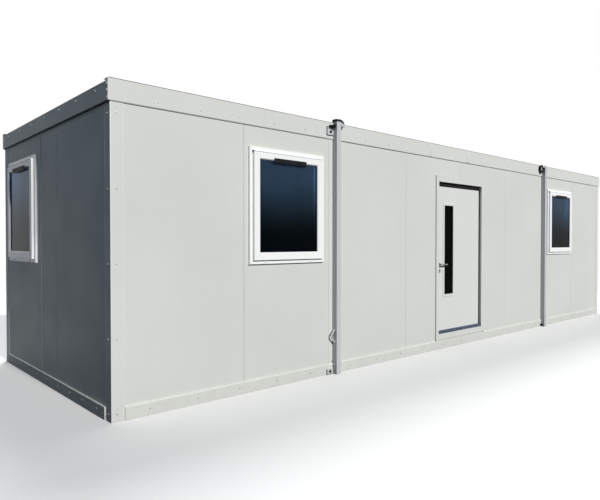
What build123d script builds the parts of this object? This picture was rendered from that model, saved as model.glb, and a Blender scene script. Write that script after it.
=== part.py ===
"""Portable site cabin: a steel-framed core with a hinged wing at each end.

Sandwich-panel walls stand on welded base frames.  Four proud steel posts mark the folds between the core
and the wings.  Windows are plastic casements, and the door is a steel leaf that opens inwards.
Millimetres, +Z up, the front faces -Y, the origin is on the ground at the middle of the footprint.
"""

import os

from build123d import *

os.makedirs("parts", exist_ok=True)

# ---- overall ----
HEIGHT = 2520.0            # ground to the top of the long fascias
DEPTH = 2840.0             # front wall plane to back wall plane
WING_LENGTH = 2290.0       # post to end wall plane
PANEL_PITCH = 1150.0       # width of one wall panel of the core
CORE_PANELS = 4
WALL_THICKNESS = 75.0

# ---- base and floor ----
BASE_HEIGHT = 100.0
BASE_FLANGE = 50.0         # width of the base channel's flanges
BASE_STEEL = 4.0
RAIL_COVER_PROUD = 12.0    # how far the base rail's cover stands out from the wall plane
JOIST_WIDTH = 50.0
JOIST_PITCH_LIMIT = 600.0
FLOOR_THICKNESS = 60.0

# ---- roof ----
FASCIA_HEIGHT = 160.0
FASCIA_PROUD = 12.0
END_FASCIA_PROUD = 22.0
FASCIA_LIP = 60.0          # top lip that turns in over the roof
FASCIA_LIP_THICKNESS = 3.0
END_FASCIA_DROP = 20.0     # the end fascias are this much lower, so that rain runs off
WALL_UNDER_FASCIA = 20.0   # how far the wall runs up behind the fascia
ROOF_BELOW_TOP = 14.0      # roof surface at the folds, below the fascia's top
ROOF_RIDGE_RISE = 8.0
ROOF_FALL = 18.0           # fall of a wing roof from fold to end
ROOF_FLAT_MARGIN = 80.0    # level strip of roof beside a fold
ROOF_RIB_WIDTH = 36.0
ROOF_RIB_HEIGHT = 10.0
ROOF_RIB_TOP_WIDTH = 20.0
ROOF_BAYS = 3
FOLD_COVER_WIDTH = 150.0
FOLD_COVER_HEIGHT = 16.0
FOLD_COVER_BEVEL = 14.0

# ---- posts ----
POST_WIDTH = 60.0
POST_PROUD = 66.0
POST_RISE = {"left": 36.0, "right": 4.0}   # head of the post above the fascia's top
POST_WALL = 5.0
POST_HEAD_RADIUS = 12.0
GUSSET_REACH = 61.0        # quarter-round plate beside the head, on the core side
GUSSET_DROP = 30.0         # its foot below the fascia's top
GUSSET_THICKNESS = 10.0
GUSSET_SETBACK = 5.0       # post's front face to the plate
LUG_RADIUS = {"left": 76.0, "right": 64.0}
LUG_HOLE_RADIUS = 16.0
LUG_REACH = {"left": 30.0, "right": 62.0}  # hole centre to the post's face
LUG_THICKNESS = 14.0
LUG_TAB_HEIGHT = 76.0
LUG_FROM_FASCIA = 14.0     # fascia's face to the lug
LUG_PIN_ROOM = 2.0         # gusset's bore round the lug's pin
LUG_DROP = {"left": 10.0, "right": 54.0}   # hole centre below the fascia's top
EYE_BAR_RADIUS = 8.0
EYE_REACH = 56.0
EYE_HALF_HEIGHT = 62.0
EYE_HEIGHT = 383.0         # middle of the lashing eye above the ground
EYE_BEND = 34.0

# ---- trims and wing hinges ----
TRIM_LEG = 100.0
TRIM_THICKNESS = 2.5
EDGE_STRIP_WIDTH = 54.0
EDGE_STRIP_PROUD = 2.5
BRACKET_WIDTH = 86.0
BRACKET_HEIGHT = 86.0
BRACKET_THICKNESS = 8.0
BRACKET_BELOW_TOP = 39.0
BRACKET_CORNER = 8.0
BARREL_RADIUS = 17.0
BARREL_LENGTH = 34.0
BOLT_RADIUS = 9.0
BOLT_HEAD = 6.0
FOOT_BRACKET_WIDTH = 72.0
FOOT_BRACKET_HEIGHT = 50.0
FOOT_BRACKET_FROM_POST = 14.0
FOOT_BRACKET_LIFT = 6.0
SEAT_GAP = 0.3

# ---- panel joints ----
GROOVE_WIDTH = 5.0
GROOVE_DEPTH = 3.0
WING_JOINT_FROM_END = 1195.0
END_JOINTS_FROM_FRONT = (1166.0, 1598.0)

# ---- windows ----
WINDOW_WIDTH = 910.0
WINDOW_HEIGHT = 1040.0
WINDOW_HEAD_DROP = 190.0   # fascia's bottom to the window's head
WINDOW_FROM_POST = 137.0
END_WINDOW_FROM_BACK = 216.0
WINDOW_PROUD = 22.0
WINDOW_LAP = 15.0          # flange over the wall round the cut-out
FRAME_FACE = 32.0
FRAME_STOP = 20.0          # stop behind the sash
SASH_FACE = 70.0
SASH_PROUD = 22.0          # sash in front of the frame
SASH_GAP = 3.0
SASH_DEPTH = 64.0
GLASS_SETBACK = 14.0       # sash face to glass
GLASS_THICKNESS = 24.0
GLASS_BITE = 12.0          # glass edge inside the sash groove
PLASTIC_EDGE = 3.0
SASH_BEVEL = 8.0
VENT_LENGTH = 390.0
VENT_HEIGHT = 44.0
VENT_DEPTH = 10.0

# ---- door ----
DOOR_WIDTH = 1000.0        # clear width between the reveals
DOOR_HEAD_DROP = 286.0     # fascia's bottom to the head of the opening
DOOR_SILL_RISE = 85.0      # top of the base to the sill
DOOR_FLANGE_SIDE = 55.0
DOOR_FLANGE_TOP = 64.0
DOOR_FLANGE_FOOT = 70.0
DOOR_FLANGE_PROUD = 10.0
DOOR_FRAME_BODY = 40.0     # frame section between the opening and the wall
DOOR_INNER_FLANGE = 6.0
STOP_DEPTH = 25.0          # wall plane to the back of the door stop
LEAF_GAP = 5.0             # stop to leaf
LEAF_THICKNESS = 45.0
LEAF_LAP = 14.0            # leaf behind the stop
LEAF_CLEARANCE = 7.0       # leaf edge to rebate
THRESHOLD_HEIGHT = 38.0
VISION_WIDTH = 195.0
VISION_HEIGHT = 1121.0
VISION_FROM_EDGE = 185.0   # leaf's latch edge to the glass
VISION_BELOW_LEAF_TOP = 300.0
VISION_FRAME_FACE = 30.0
VISION_FRAME_PROUD = 6.0
VISION_GLASS_THICKNESS = 20.0
VISION_GLASS_BITE = 8.0
LEVER_FROM_EDGE = 72.0     # spindle to the leaf's edge
LEVER_HEIGHT = 1045.0      # above the ground
LEVER_LENGTH = 118.0
LEVER_NECK_RADIUS = 10.0
LEVER_GRIP_RADIUS = 9.0
LEVER_TIP_RADIUS = 5.0
LEVER_STANDOFF = 46.0
LEVER_BEND = 16.0
LEVER_FACE_GAP = 1.0       # neck to the leaf's face
SPINDLE_RADIUS = 6.0
ROSE_RADIUS = 26.0
ROSE_THICKNESS = 8.0
PIN_CLEARANCE = 0.5
LOCK_DROP = 78.0           # spindle to lock cylinder
KEYWAY_WIDTH = 3.0
KEYWAY_HEIGHT = 12.0
HINGE_RADIUS = 8.0
HINGE_LENGTH = 96.0
HINGE_PIN_RADIUS = 4.5
HINGE_PIN_CLEARANCE = 0.3
HINGE_KNUCKLE_GAP = 1.0
HINGE_FLAG_WIDTH = 36.0
HINGE_FLAG_THICKNESS = 3.0
HINGE_BARREL_LIFT = 1.0    # barrel clear of the frame's inner flange
HINGE_FROM_LEAF_END = 230.0
HINGE_COUNT = 3

# ---- places worked out from the sizes above ----
CORE_LENGTH = CORE_PANELS * PANEL_PITCH
FOLD_X = CORE_LENGTH / 2                    # core side of a post
WING_X = FOLD_X + POST_WIDTH                # wing side of a post
END_X = WING_X + WING_LENGTH                # end wall plane
JOINT_X = FOLD_X + POST_WIDTH / 2           # line where core and wing meet
FACE_Y = DEPTH / 2                          # front and back wall planes
INNER_Y = FACE_Y - WALL_THICKNESS
FASCIA_BOTTOM = HEIGHT - FASCIA_HEIGHT
CUTOUT_WIDTH = WINDOW_WIDTH - 2 * WINDOW_LAP
CUTOUT_HEIGHT = WINDOW_HEIGHT - 2 * WINDOW_LAP
WALL_TOP = FASCIA_BOTTOM + WALL_UNDER_FASCIA
WALL_HEIGHT = WALL_TOP - BASE_HEIGHT
FLOOR_TOP = BASE_HEIGHT + FLOOR_THICKNESS
ROOF_AT_FOLD = HEIGHT - ROOF_BELOW_TOP
SIDES = {"left": -1, "right": 1}
FACES = {"front": -1, "back": 1}


def facade(normal, x, y, z):
    """Plane on a wall's outer face: its own Y is up, its Z points outwards along normal."""
    out = Vector(*normal)
    return Plane(origin=(x, y, z), x_dir=Vector(0, 0, 1).cross(out), z_dir=out)


def face_normal(face):
    return (0, face, 0)


def end_normal(side):
    return (side, 0, 0)


def save(part, name):
    part.label = name
    export_step(part, f"parts/{name}.step")


# ---------------------------------------------------------------- base frames
def base_frame(x_low, x_high, covers):
    """Ring of inward-facing channel with joists between its long rails, and the rail covers outside it."""
    length = x_high - x_low
    middle = (x_low + x_high) / 2
    bays = int(length // JOIST_PITCH_LIMIT) + 1
    pitch = length / bays
    with BuildPart() as frame:
        with BuildSketch(Plane.XY):
            with Locations((middle, 0)):
                Rectangle(length, DEPTH)
                Rectangle(length - 2 * BASE_FLANGE, DEPTH - 2 * BASE_FLANGE, mode=Mode.SUBTRACT)
        extrude(amount=BASE_HEIGHT)
        # the channel is hollow between its flanges, open to the inside of the ring
        with BuildSketch(Plane.XY.offset(BASE_STEEL)):
            with Locations((middle, 0)):
                Rectangle(length - 2 * BASE_STEEL, DEPTH - 2 * BASE_STEEL)
                Rectangle(length - 2 * BASE_FLANGE, DEPTH - 2 * BASE_FLANGE, mode=Mode.SUBTRACT)
        extrude(amount=BASE_HEIGHT - 2 * BASE_STEEL, mode=Mode.SUBTRACT)
        with BuildSketch(Plane.XY):
            for index in range(1, bays):
                with Locations((x_low + index * pitch, 0)):
                    Rectangle(JOIST_WIDTH, DEPTH - 2 * BASE_STEEL)
        extrude(amount=BASE_HEIGHT)
        for plane, cover_length in covers:
            with BuildSketch(plane):
                Rectangle(cover_length, BASE_HEIGHT)
            extrude(amount=RAIL_COVER_PROUD)
    return frame.part


def long_cover(face, x_low, x_high):
    """Plane and length of a base rail cover along the front or the back."""
    plane = facade(face_normal(face), (x_low + x_high) / 2, face * FACE_Y, BASE_HEIGHT / 2)
    return plane, x_high - x_low


core_covers = [long_cover(face, -FOLD_X, FOLD_X) for face in FACES.values()]
save(base_frame(-WING_X, WING_X, core_covers), "core_base_frame")

for side_name, side in SIDES.items():
    near, far = sorted((side * WING_X, side * END_X))
    cover_near, cover_far = sorted((side * WING_X, side * (END_X - TRIM_LEG)))
    wing_covers = [long_cover(face, cover_near, cover_far) for face in FACES.values()]
    end_plane = facade(end_normal(side), side * END_X, 0, BASE_HEIGHT / 2)
    wing_covers.append((end_plane, DEPTH - 2 * TRIM_LEG))
    save(base_frame(near, far, wing_covers), f"{side_name}_wing_base_frame")


# ---------------------------------------------------------------- floors
def floor_deck(x_low, x_high):
    """Floor panel on its base frame, between the walls."""
    with BuildPart() as deck:
        with BuildSketch(Plane.XY.offset(BASE_HEIGHT)):
            with Locations(((x_low + x_high) / 2, 0)):
                Rectangle(x_high - x_low, 2 * INNER_Y)
        extrude(amount=FLOOR_THICKNESS)
    return deck.part


save(floor_deck(-JOINT_X, JOINT_X), "core_floor")
for side_name, side in SIDES.items():
    near, far = sorted((side * JOINT_X, side * (END_X - WALL_THICKNESS)))
    save(floor_deck(near, far), f"{side_name}_wing_floor")

# ---------------------------------------------------------------- posts at the folds
for face_name, face in FACES.items():
    for side_name, side in SIDES.items():
        post_middle = side * JOINT_X
        nose_y = face * (FACE_Y + POST_PROUD / 2)
        with BuildPart() as post:
            # nose that stands out in front of the walls, from the ground to above the fascia
            with BuildSketch(Plane.XY):
                with Locations((post_middle, nose_y)):
                    Rectangle(POST_WIDTH, POST_PROUD)
            extrude(amount=HEIGHT + POST_RISE[side_name])
            head = post.faces().sort_by(Axis.Z)[-1].edges().filter_by(Axis.X).sort_by(Axis.Y)
            fillet(head[0] if face < 0 else head[-1], radius=POST_HEAD_RADIUS)
            # stem between the wall panels, from the base frame to the roof
            with BuildSketch(Plane.XY.offset(BASE_HEIGHT)):
                with Locations((post_middle, face * (FACE_Y - WALL_THICKNESS / 2))):
                    Rectangle(POST_WIDTH, WALL_THICKNESS)
            extrude(amount=WALL_HEIGHT)
            # the section is a hollow box, open at its foot
            with BuildSketch(Plane.XY):
                with Locations((post_middle, nose_y)):
                    Rectangle(POST_WIDTH - 2 * POST_WALL, POST_PROUD - 2 * POST_WALL)
            extrude(amount=HEIGHT - FASCIA_HEIGHT, mode=Mode.SUBTRACT)
        save(post.part, f"{face_name}_{side_name}_post")

# quarter-round plates that steady the heads on the core side
gusset_foot = HEIGHT - GUSSET_DROP
with BuildPart() as gussets:
    for face in FACES.values():
        gusset_y = face * (FACE_Y + POST_PROUD - GUSSET_SETBACK)
        for side_name, side in SIDES.items():
            gusset_x = side * FOLD_X
            gusset_height = POST_RISE[side_name] + GUSSET_DROP
            with BuildSketch(Plane.XZ.offset(-gusset_y)):
                with Locations((gusset_x, gusset_foot)):
                    Ellipse(GUSSET_REACH, gusset_height)
                with Locations((gusset_x - side * GUSSET_REACH / 2, gusset_foot + gusset_height / 2)):
                    Rectangle(GUSSET_REACH, gusset_height, mode=Mode.INTERSECT)
                # bored in line with a lug that lies behind it
                lug_hole_z = HEIGHT - LUG_DROP[side_name]
                if lug_hole_z > gusset_foot:
                    with Locations((gusset_x - side * LUG_REACH[side_name], lug_hole_z)):
                        Circle(LUG_HOLE_RADIUS + LUG_PIN_ROOM, mode=Mode.SUBTRACT)
            extrude(amount=face * GUSSET_THICKNESS)
save(gussets.part, "head_gussets")

# lashing eyes: bent bars welded to the wing side of each post
with BuildPart() as eyes:
    for face in FACES.values():
        for side in SIDES.values():
            eye_plane = Plane(
                origin=(side * WING_X, face * (FACE_Y + POST_PROUD / 2), EYE_HEIGHT),
                x_dir=(side, 0, 0),
                z_dir=(0, -side, 0),
            )
            with BuildLine(eye_plane) as eye_path:
                FilletPolyline(
                    (0, EYE_HALF_HEIGHT),
                    (EYE_REACH, 0),
                    (0, -EYE_HALF_HEIGHT),
                    radius=EYE_BEND,
                )
            with BuildSketch(Plane(origin=eye_path.line @ 0, z_dir=eye_path.line % 0)):
                Circle(EYE_BAR_RADIUS)
            sweep(path=eye_path.line)
            # feet cut flush with the post
            with BuildSketch(eye_plane.offset(-EYE_BAR_RADIUS)):
                with Locations((-EYE_BAR_RADIUS, 0)):
                    Rectangle(2 * EYE_BAR_RADIUS, 3 * EYE_HALF_HEIGHT)
            extrude(amount=2 * EYE_BAR_RADIUS, mode=Mode.SUBTRACT)
save(eyes.part, "lashing_eyes")

# ---------------------------------------------------------------- lifting lugs
with BuildPart() as lugs:
    for face in FACES.values():
        for side_name, side in SIDES.items():
            lug_y = face * (FACE_Y + FASCIA_PROUD + LUG_FROM_FASCIA)
            lug_face = facade(face_normal(face), side * FOLD_X, lug_y, HEIGHT - LUG_DROP[side_name])
            inward = -side * lug_face.x_dir.X      # +1 where the core lies along the plane's own X
            hole = (inward * LUG_REACH[side_name], 0)
            radius = LUG_RADIUS[side_name]
            foot_below_hole = GUSSET_DROP - LUG_DROP[side_name]
            with BuildSketch(lug_face):
                if foot_below_hole > 0:
                    # quarter disc behind the gusset, in the corner of the post
                    with Locations((0, -foot_below_hole)):
                        Circle(radius)
                    with Locations((inward * radius, radius - foot_below_hole)):
                        Rectangle(2 * radius, 2 * radius, mode=Mode.INTERSECT)
                else:
                    # round plate beside the post, joined to it by a tab
                    with Locations(hole):
                        Circle(radius)
                    with Locations((hole[0] / 2, 0)):
                        Rectangle(abs(hole[0]), LUG_TAB_HEIGHT)
                with Locations(hole):
                    Circle(LUG_HOLE_RADIUS, mode=Mode.SUBTRACT)
                with Locations((-inward * radius, 0)):
                    Rectangle(2 * radius, 4 * radius, mode=Mode.SUBTRACT)
            extrude(amount=LUG_THICKNESS)
save(lugs.part, "lifting_lugs")


# ---------------------------------------------------------------- walls
def groove(plane, x, height):
    """Panel joint: a shallow V down the outer face, at x on the plane."""
    foot = plane.from_local_coords((x, -height / 2, 0))
    with BuildSketch(Plane(origin=foot, x_dir=plane.x_dir, z_dir=plane.y_dir)) as vee:
        with BuildLine():
            Polyline((-GROOVE_WIDTH / 2, 0), (0, GROOVE_DEPTH), (GROOVE_WIDTH / 2, 0), close=True)
        make_face()
    extrude(vee.sketch, amount=height, mode=Mode.SUBTRACT)


def wall_panel(plane, width, height, joints=(), windows=(), strip=None):
    """Sandwich-panel wall centred on plane, its outer face on the plane."""
    with BuildPart() as wall:
        with BuildSketch(plane):
            Rectangle(width, height)
            for x, z in windows:
                with Locations((x, z)):
                    Rectangle(CUTOUT_WIDTH, CUTOUT_HEIGHT, mode=Mode.SUBTRACT)
        extrude(amount=-WALL_THICKNESS)
        for x in joints:
            groove(plane, x, height)
        if strip is not None:
            # closing strip over the panel edge beside the post
            strip_height = FASCIA_BOTTOM - BASE_HEIGHT
            with BuildSketch(plane):
                with Locations((strip, (strip_height - height) / 2)):
                    Rectangle(EDGE_STRIP_WIDTH, strip_height)
            extrude(amount=EDGE_STRIP_PROUD)
    return wall.part


WALL_MIDDLE_Z = BASE_HEIGHT + WALL_HEIGHT / 2
WINDOW_MIDDLE_Z = FASCIA_BOTTOM - WINDOW_HEAD_DROP - WINDOW_HEIGHT / 2
WING_MIDDLE_X = WING_X + WING_LENGTH / 2
WING_WINDOW_X = WING_X + WINDOW_FROM_POST + WINDOW_WIDTH / 2
END_WINDOW_Y = FACE_Y - END_WINDOW_FROM_BACK - WINDOW_WIDTH / 2
windows_at = {}

for side_name, side in SIDES.items():
    for face_name, face in FACES.items():
        wing_plane = facade(face_normal(face), side * WING_MIDDLE_X, face * FACE_Y, WALL_MIDDLE_Z)
        along = wing_plane.x_dir.X
        joint = along * side * (END_X - WING_JOINT_FROM_END - WING_MIDDLE_X)
        strip_at = -along * side * (WING_LENGTH - EDGE_STRIP_WIDTH) / 2
        holes = []
        if face_name == "front":
            holes.append((along * side * (WING_WINDOW_X - WING_MIDDLE_X), WINDOW_MIDDLE_Z - WALL_MIDDLE_Z))
            windows_at[f"{side_name}_wing"] = facade(
                face_normal(face), side * WING_WINDOW_X, face * FACE_Y, WINDOW_MIDDLE_Z
            )
        wing_wall = wall_panel(wing_plane, WING_LENGTH, WALL_HEIGHT, [joint], holes, strip_at)
        save(wing_wall, f"{side_name}_wing_{face_name}_wall")

    end_plane = facade(end_normal(side), side * END_X, 0, WALL_MIDDLE_Z)
    along = end_plane.x_dir.Y
    end_joints = [along * (place - FACE_Y) for place in END_JOINTS_FROM_FRONT]
    end_hole = (along * END_WINDOW_Y, WINDOW_MIDDLE_Z - WALL_MIDDLE_Z)
    windows_at[f"{side_name}_end"] = facade(end_normal(side), side * END_X, END_WINDOW_Y, WINDOW_MIDDLE_Z)
    save(wall_panel(end_plane, 2 * INNER_Y, WALL_HEIGHT, end_joints, [end_hole]), f"{side_name}_end_wall")

core_joints = [(index - CORE_PANELS / 2) * PANEL_PITCH for index in range(1, CORE_PANELS)]
back_plane = facade(face_normal(1), 0, FACE_Y, WALL_MIDDLE_Z)
save(wall_panel(back_plane, CORE_LENGTH, WALL_HEIGHT, core_joints), "core_back_wall")

# the front wall of the core stops at the door frame
DOOR_CUT = DOOR_WIDTH / 2 + DOOR_FRAME_BODY
DOOR_HEAD = FASCIA_BOTTOM - DOOR_HEAD_DROP
DOOR_SILL = BASE_HEIGHT + DOOR_SILL_RISE
beside_width = FOLD_X - DOOR_CUT
for side_name, side in SIDES.items():
    beside_middle = side * (FOLD_X + DOOR_CUT) / 2
    beside_plane = facade(face_normal(-1), beside_middle, -FACE_Y, WALL_MIDDLE_Z)
    beside_joints = [x - beside_middle for x in core_joints if abs(x - beside_middle) < beside_width / 2]
    beside_wall = wall_panel(beside_plane, beside_width, WALL_HEIGHT, beside_joints)
    save(beside_wall, f"core_front_wall_{side_name}_of_door")

over_height = WALL_TOP - DOOR_HEAD - DOOR_FRAME_BODY
over_plane = facade(face_normal(-1), 0, -FACE_Y, WALL_TOP - over_height / 2)
over_joints = [x for x in core_joints if abs(x) < DOOR_CUT]
save(wall_panel(over_plane, 2 * DOOR_CUT, over_height, over_joints), "core_front_wall_over_door")

# ---------------------------------------------------------------- corner trims
for face_name, face in FACES.items():
    for side_name, side in SIDES.items():
        corner_x = side * (END_X + TRIM_THICKNESS)
        corner_y = face * (FACE_Y + TRIM_THICKNESS)
        with BuildPart() as trim:
            with BuildSketch(Plane.XY):
                with BuildLine():
                    Polyline(
                        (corner_x, corner_y),
                        (side * (END_X - TRIM_LEG), corner_y),
                        (side * (END_X - TRIM_LEG), face * FACE_Y),
                        (side * END_X, face * FACE_Y),
                        (side * END_X, face * (FACE_Y - TRIM_LEG)),
                        (corner_x, face * (FACE_Y - TRIM_LEG)),
                        close=True,
                    )
                make_face()
            extrude(amount=FASCIA_BOTTOM)
            corner = (corner_x, corner_y, FASCIA_BOTTOM / 2)
            fillet(trim.edges().filter_by(Axis.Z).sort_by_distance(corner)[0], radius=TRIM_THICKNESS)
        save(trim.part, f"{face_name}_{side_name}_corner_trim")


# ---------------------------------------------------------------- roofs
def roof_panel(outline, x_low, x_high):
    """Roof slab with a sloping top outline in XZ, and seam ribs along the fall between x_low and x_high."""
    with BuildPart() as roof:
        with BuildSketch(Plane.XZ.offset(-FACE_Y)):
            with BuildLine():
                Polyline(*outline, close=True)
            make_face()
        extrude(amount=DEPTH)
        rib_profile = [(-ROOF_RIB_WIDTH / 2, 0), (-ROOF_RIB_TOP_WIDTH / 2, ROOF_RIB_HEIGHT)]
        rib_profile += [(-x, z) for x, z in reversed(rib_profile)]
        surface = [point for point in outline if x_low <= point[0] <= x_high and point[1] > WALL_TOP]
        for index in range(1, ROOF_BAYS):
            rib_y = -FACE_Y + index * DEPTH / ROOF_BAYS
            for start, end in zip(surface, surface[1:]):
                run = Plane(
                    origin=(start[0], rib_y, start[1]),
                    x_dir=(0, 1, 0),
                    z_dir=(end[0] - start[0], 0, end[1] - start[1]),
                )
                flip = 1 if run.y_dir.Z > 0 else -1
                with BuildSketch(run):
                    with BuildLine():
                        Polyline(*[(x, flip * z) for x, z in rib_profile], close=True)
                    make_face()
                extrude(amount=Vector(end[0] - start[0], 0, end[1] - start[1]).length)
    return roof.part


core_outline = [
    (-JOINT_X, WALL_TOP),
    (-JOINT_X, ROOF_AT_FOLD),
    (-JOINT_X + ROOF_FLAT_MARGIN, ROOF_AT_FOLD),
    (0, ROOF_AT_FOLD + ROOF_RIDGE_RISE),
    (JOINT_X - ROOF_FLAT_MARGIN, ROOF_AT_FOLD),
    (JOINT_X, ROOF_AT_FOLD),
    (JOINT_X, WALL_TOP),
]
rib_end = JOINT_X - ROOF_FLAT_MARGIN
save(roof_panel(core_outline, -rib_end, rib_end), "core_roof")

rib_stop = END_X - FASCIA_LIP - ROOF_RIB_WIDTH
stop_share = (rib_stop - JOINT_X - ROOF_FLAT_MARGIN) / (END_X - JOINT_X - ROOF_FLAT_MARGIN)
for side_name, side in SIDES.items():
    wing_outline = [
        (side * JOINT_X, WALL_TOP),
        (side * JOINT_X, ROOF_AT_FOLD),
        (side * (JOINT_X + ROOF_FLAT_MARGIN), ROOF_AT_FOLD),
        (side * rib_stop, ROOF_AT_FOLD - ROOF_FALL * stop_share),
        (side * END_X, ROOF_AT_FOLD - ROOF_FALL),
        (side * END_X, WALL_TOP),
    ]
    rib_low, rib_high = sorted((side * (JOINT_X + ROOF_FLAT_MARGIN), side * rib_stop))
    save(roof_panel(wing_outline, rib_low, rib_high), f"{side_name}_wing_roof")

# weather covers over the folds
for side_name, side in SIDES.items():
    with BuildPart() as cover:
        cover_start = (side * JOINT_X, FACE_Y - FASCIA_LIP, ROOF_AT_FOLD)
        cover_foot = Plane(origin=cover_start, x_dir=(1, 0, 0), z_dir=(0, -1, 0))
        half_foot = FOLD_COVER_WIDTH / 2
        half_top = half_foot - FOLD_COVER_BEVEL
        with BuildSketch(cover_foot):
            with BuildLine():
                Polyline(
                    (-half_foot, 0),
                    (-half_top, FOLD_COVER_HEIGHT),
                    (half_top, FOLD_COVER_HEIGHT),
                    (half_foot, 0),
                    close=True,
                )
            make_face()
        extrude(amount=DEPTH - 2 * FASCIA_LIP)
    save(cover.part, f"{side_name}_fold_cover")


# ---------------------------------------------------------------- fascias
def fascia_run(plane, length, height, proud=FASCIA_PROUD):
    """Fascia board against the roof's edge, with a lip that turns in over the roof; plane is at its foot."""
    with BuildSketch(plane) as board:
        with Locations((0, height / 2)):
            Rectangle(length, height)
    extrude(board.sketch, amount=proud)
    with BuildSketch(plane) as lip:
        with Locations((0, height - FASCIA_LIP_THICKNESS / 2)):
            Rectangle(length, FASCIA_LIP_THICKNESS)
    extrude(lip.sketch, amount=-FASCIA_LIP)


for face_name, face in FACES.items():
    with BuildPart() as core_fascia:
        fascia_run(facade(face_normal(face), 0, face * FACE_Y, FASCIA_BOTTOM), CORE_LENGTH, FASCIA_HEIGHT)
    save(core_fascia.part, f"core_{face_name}_fascia")

for side_name, side in SIDES.items():
    with BuildPart() as wing_fascia:
        run_length = WING_LENGTH + END_FASCIA_PROUD
        run_middle = side * (WING_X + run_length / 2)
        for face in FACES.values():
            run_plane = facade(face_normal(face), run_middle, face * FACE_Y, FASCIA_BOTTOM)
            fascia_run(run_plane, run_length, FASCIA_HEIGHT)
        fascia_run(
            facade(end_normal(side), side * END_X, 0, FASCIA_BOTTOM),
            DEPTH,
            FASCIA_HEIGHT - END_FASCIA_DROP,
            END_FASCIA_PROUD,
        )
    save(wing_fascia.part, f"{side_name}_wing_fascia")

# ---------------------------------------------------------------- hinge brackets of the wings
with BuildPart() as brackets:
    for face in FACES.values():
        for side in SIDES.values():
            # top bracket on the fascia: plate, bolt head and barrel against the post
            top_z = HEIGHT - BRACKET_BELOW_TOP
            top_plane = facade(
                face_normal(face),
                side * (WING_X + SEAT_GAP + BRACKET_WIDTH / 2),
                face * (FACE_Y + FASCIA_PROUD),
                top_z - BRACKET_HEIGHT / 2,
            )
            toward_post = -side * top_plane.x_dir.X
            with BuildSketch(top_plane):
                RectangleRounded(BRACKET_WIDTH, BRACKET_HEIGHT, BRACKET_CORNER)
            extrude(amount=BRACKET_THICKNESS)
            with BuildSketch(top_plane):
                with Locations((toward_post * (BRACKET_WIDTH / 2 - BARREL_RADIUS), BRACKET_HEIGHT / 2)):
                    Circle(BARREL_RADIUS)
            extrude(amount=BARREL_LENGTH)
            with BuildSketch(top_plane.offset(BRACKET_THICKNESS)):
                with Locations((0, -BRACKET_HEIGHT / 8)):
                    RegularPolygon(BOLT_RADIUS, 6)
            extrude(amount=BOLT_HEAD)
            # foot bracket on the base rail's cover
            foot_plane = facade(
                face_normal(face),
                side * (WING_X + FOOT_BRACKET_FROM_POST + FOOT_BRACKET_WIDTH / 2),
                face * (FACE_Y + RAIL_COVER_PROUD),
                FOOT_BRACKET_LIFT + FOOT_BRACKET_HEIGHT / 2,
            )
            with BuildSketch(foot_plane):
                RectangleRounded(FOOT_BRACKET_WIDTH, FOOT_BRACKET_HEIGHT, BRACKET_CORNER)
            extrude(amount=BRACKET_THICKNESS)
            with BuildSketch(foot_plane.offset(BRACKET_THICKNESS)):
                RegularPolygon(BOLT_RADIUS, 6)
            extrude(amount=BOLT_HEAD)
save(brackets.part, "wing_hinge_brackets")

# ---------------------------------------------------------------- windows
SASH_INSET = FRAME_FACE + SASH_GAP          # window's outline to the sash's outline
GLASS_INSET = SASH_INSET + SASH_FACE        # window's outline to the visible glass
SASH_FRONT = WINDOW_PROUD + SASH_PROUD      # sash face in front of the wall plane
SASH_BACK = SASH_FRONT - SASH_DEPTH
GLASS_FRONT = SASH_FRONT - GLASS_SETBACK
GLASS_BACK = GLASS_FRONT - GLASS_THICKNESS


def ring(plane, outer_inset, inner_inset, depth):
    """Rectangular ring of the window's outline, inset from it, extruded by depth along the plane's normal."""
    with BuildSketch(plane) as outline:
        Rectangle(WINDOW_WIDTH - 2 * outer_inset, WINDOW_HEIGHT - 2 * outer_inset)
        Rectangle(WINDOW_WIDTH - 2 * inner_inset, WINDOW_HEIGHT - 2 * inner_inset, mode=Mode.SUBTRACT)
    extrude(outline.sketch, amount=depth)


for window_name, window in windows_at.items():
    outward = Axis(window.origin, window.z_dir)

    with BuildPart() as frame:
        ring(window, 0, FRAME_FACE, WINDOW_PROUD)
        ring(window, WINDOW_LAP, FRAME_FACE, SASH_BACK)
        ring(window.offset(SASH_BACK), WINDOW_LAP, FRAME_FACE + FRAME_STOP, -(WALL_THICKNESS + SASH_BACK))
        ring(window.offset(-WALL_THICKNESS), 0, FRAME_FACE + FRAME_STOP, -DOOR_INNER_FLANGE)
        fillet(frame.faces().sort_by(outward)[-1].outer_wire().edges(), radius=PLASTIC_EDGE)
    save(frame.part, f"{window_name}_window_frame")

    with BuildPart() as sash:
        ring(window.offset(SASH_FRONT), SASH_INSET, GLASS_INSET, -GLASS_SETBACK)
        ring(window.offset(GLASS_FRONT), SASH_INSET, GLASS_INSET - GLASS_BITE, -GLASS_THICKNESS)
        ring(window.offset(GLASS_BACK), SASH_INSET, GLASS_INSET, SASH_BACK - GLASS_BACK)
        sash_face = sash.faces().sort_by(outward)[-1]
        rim = sash_face.outer_wire().edges()
        bevel = sash_face.inner_wires()[0].edges()
        fillet(rim, radius=PLASTIC_EDGE)
        chamfer(bevel, length=SASH_BEVEL)
    save(sash.part, f"{window_name}_window_sash")

with BuildPart() as panes:
    for window in windows_at.values():
        with BuildSketch(window.offset(GLASS_FRONT)):
            pane_inset = GLASS_INSET - GLASS_BITE
            Rectangle(WINDOW_WIDTH - 2 * pane_inset, WINDOW_HEIGHT - 2 * pane_inset)
        extrude(amount=-GLASS_THICKNESS)
save(panes.part, "window_glass")

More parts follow.
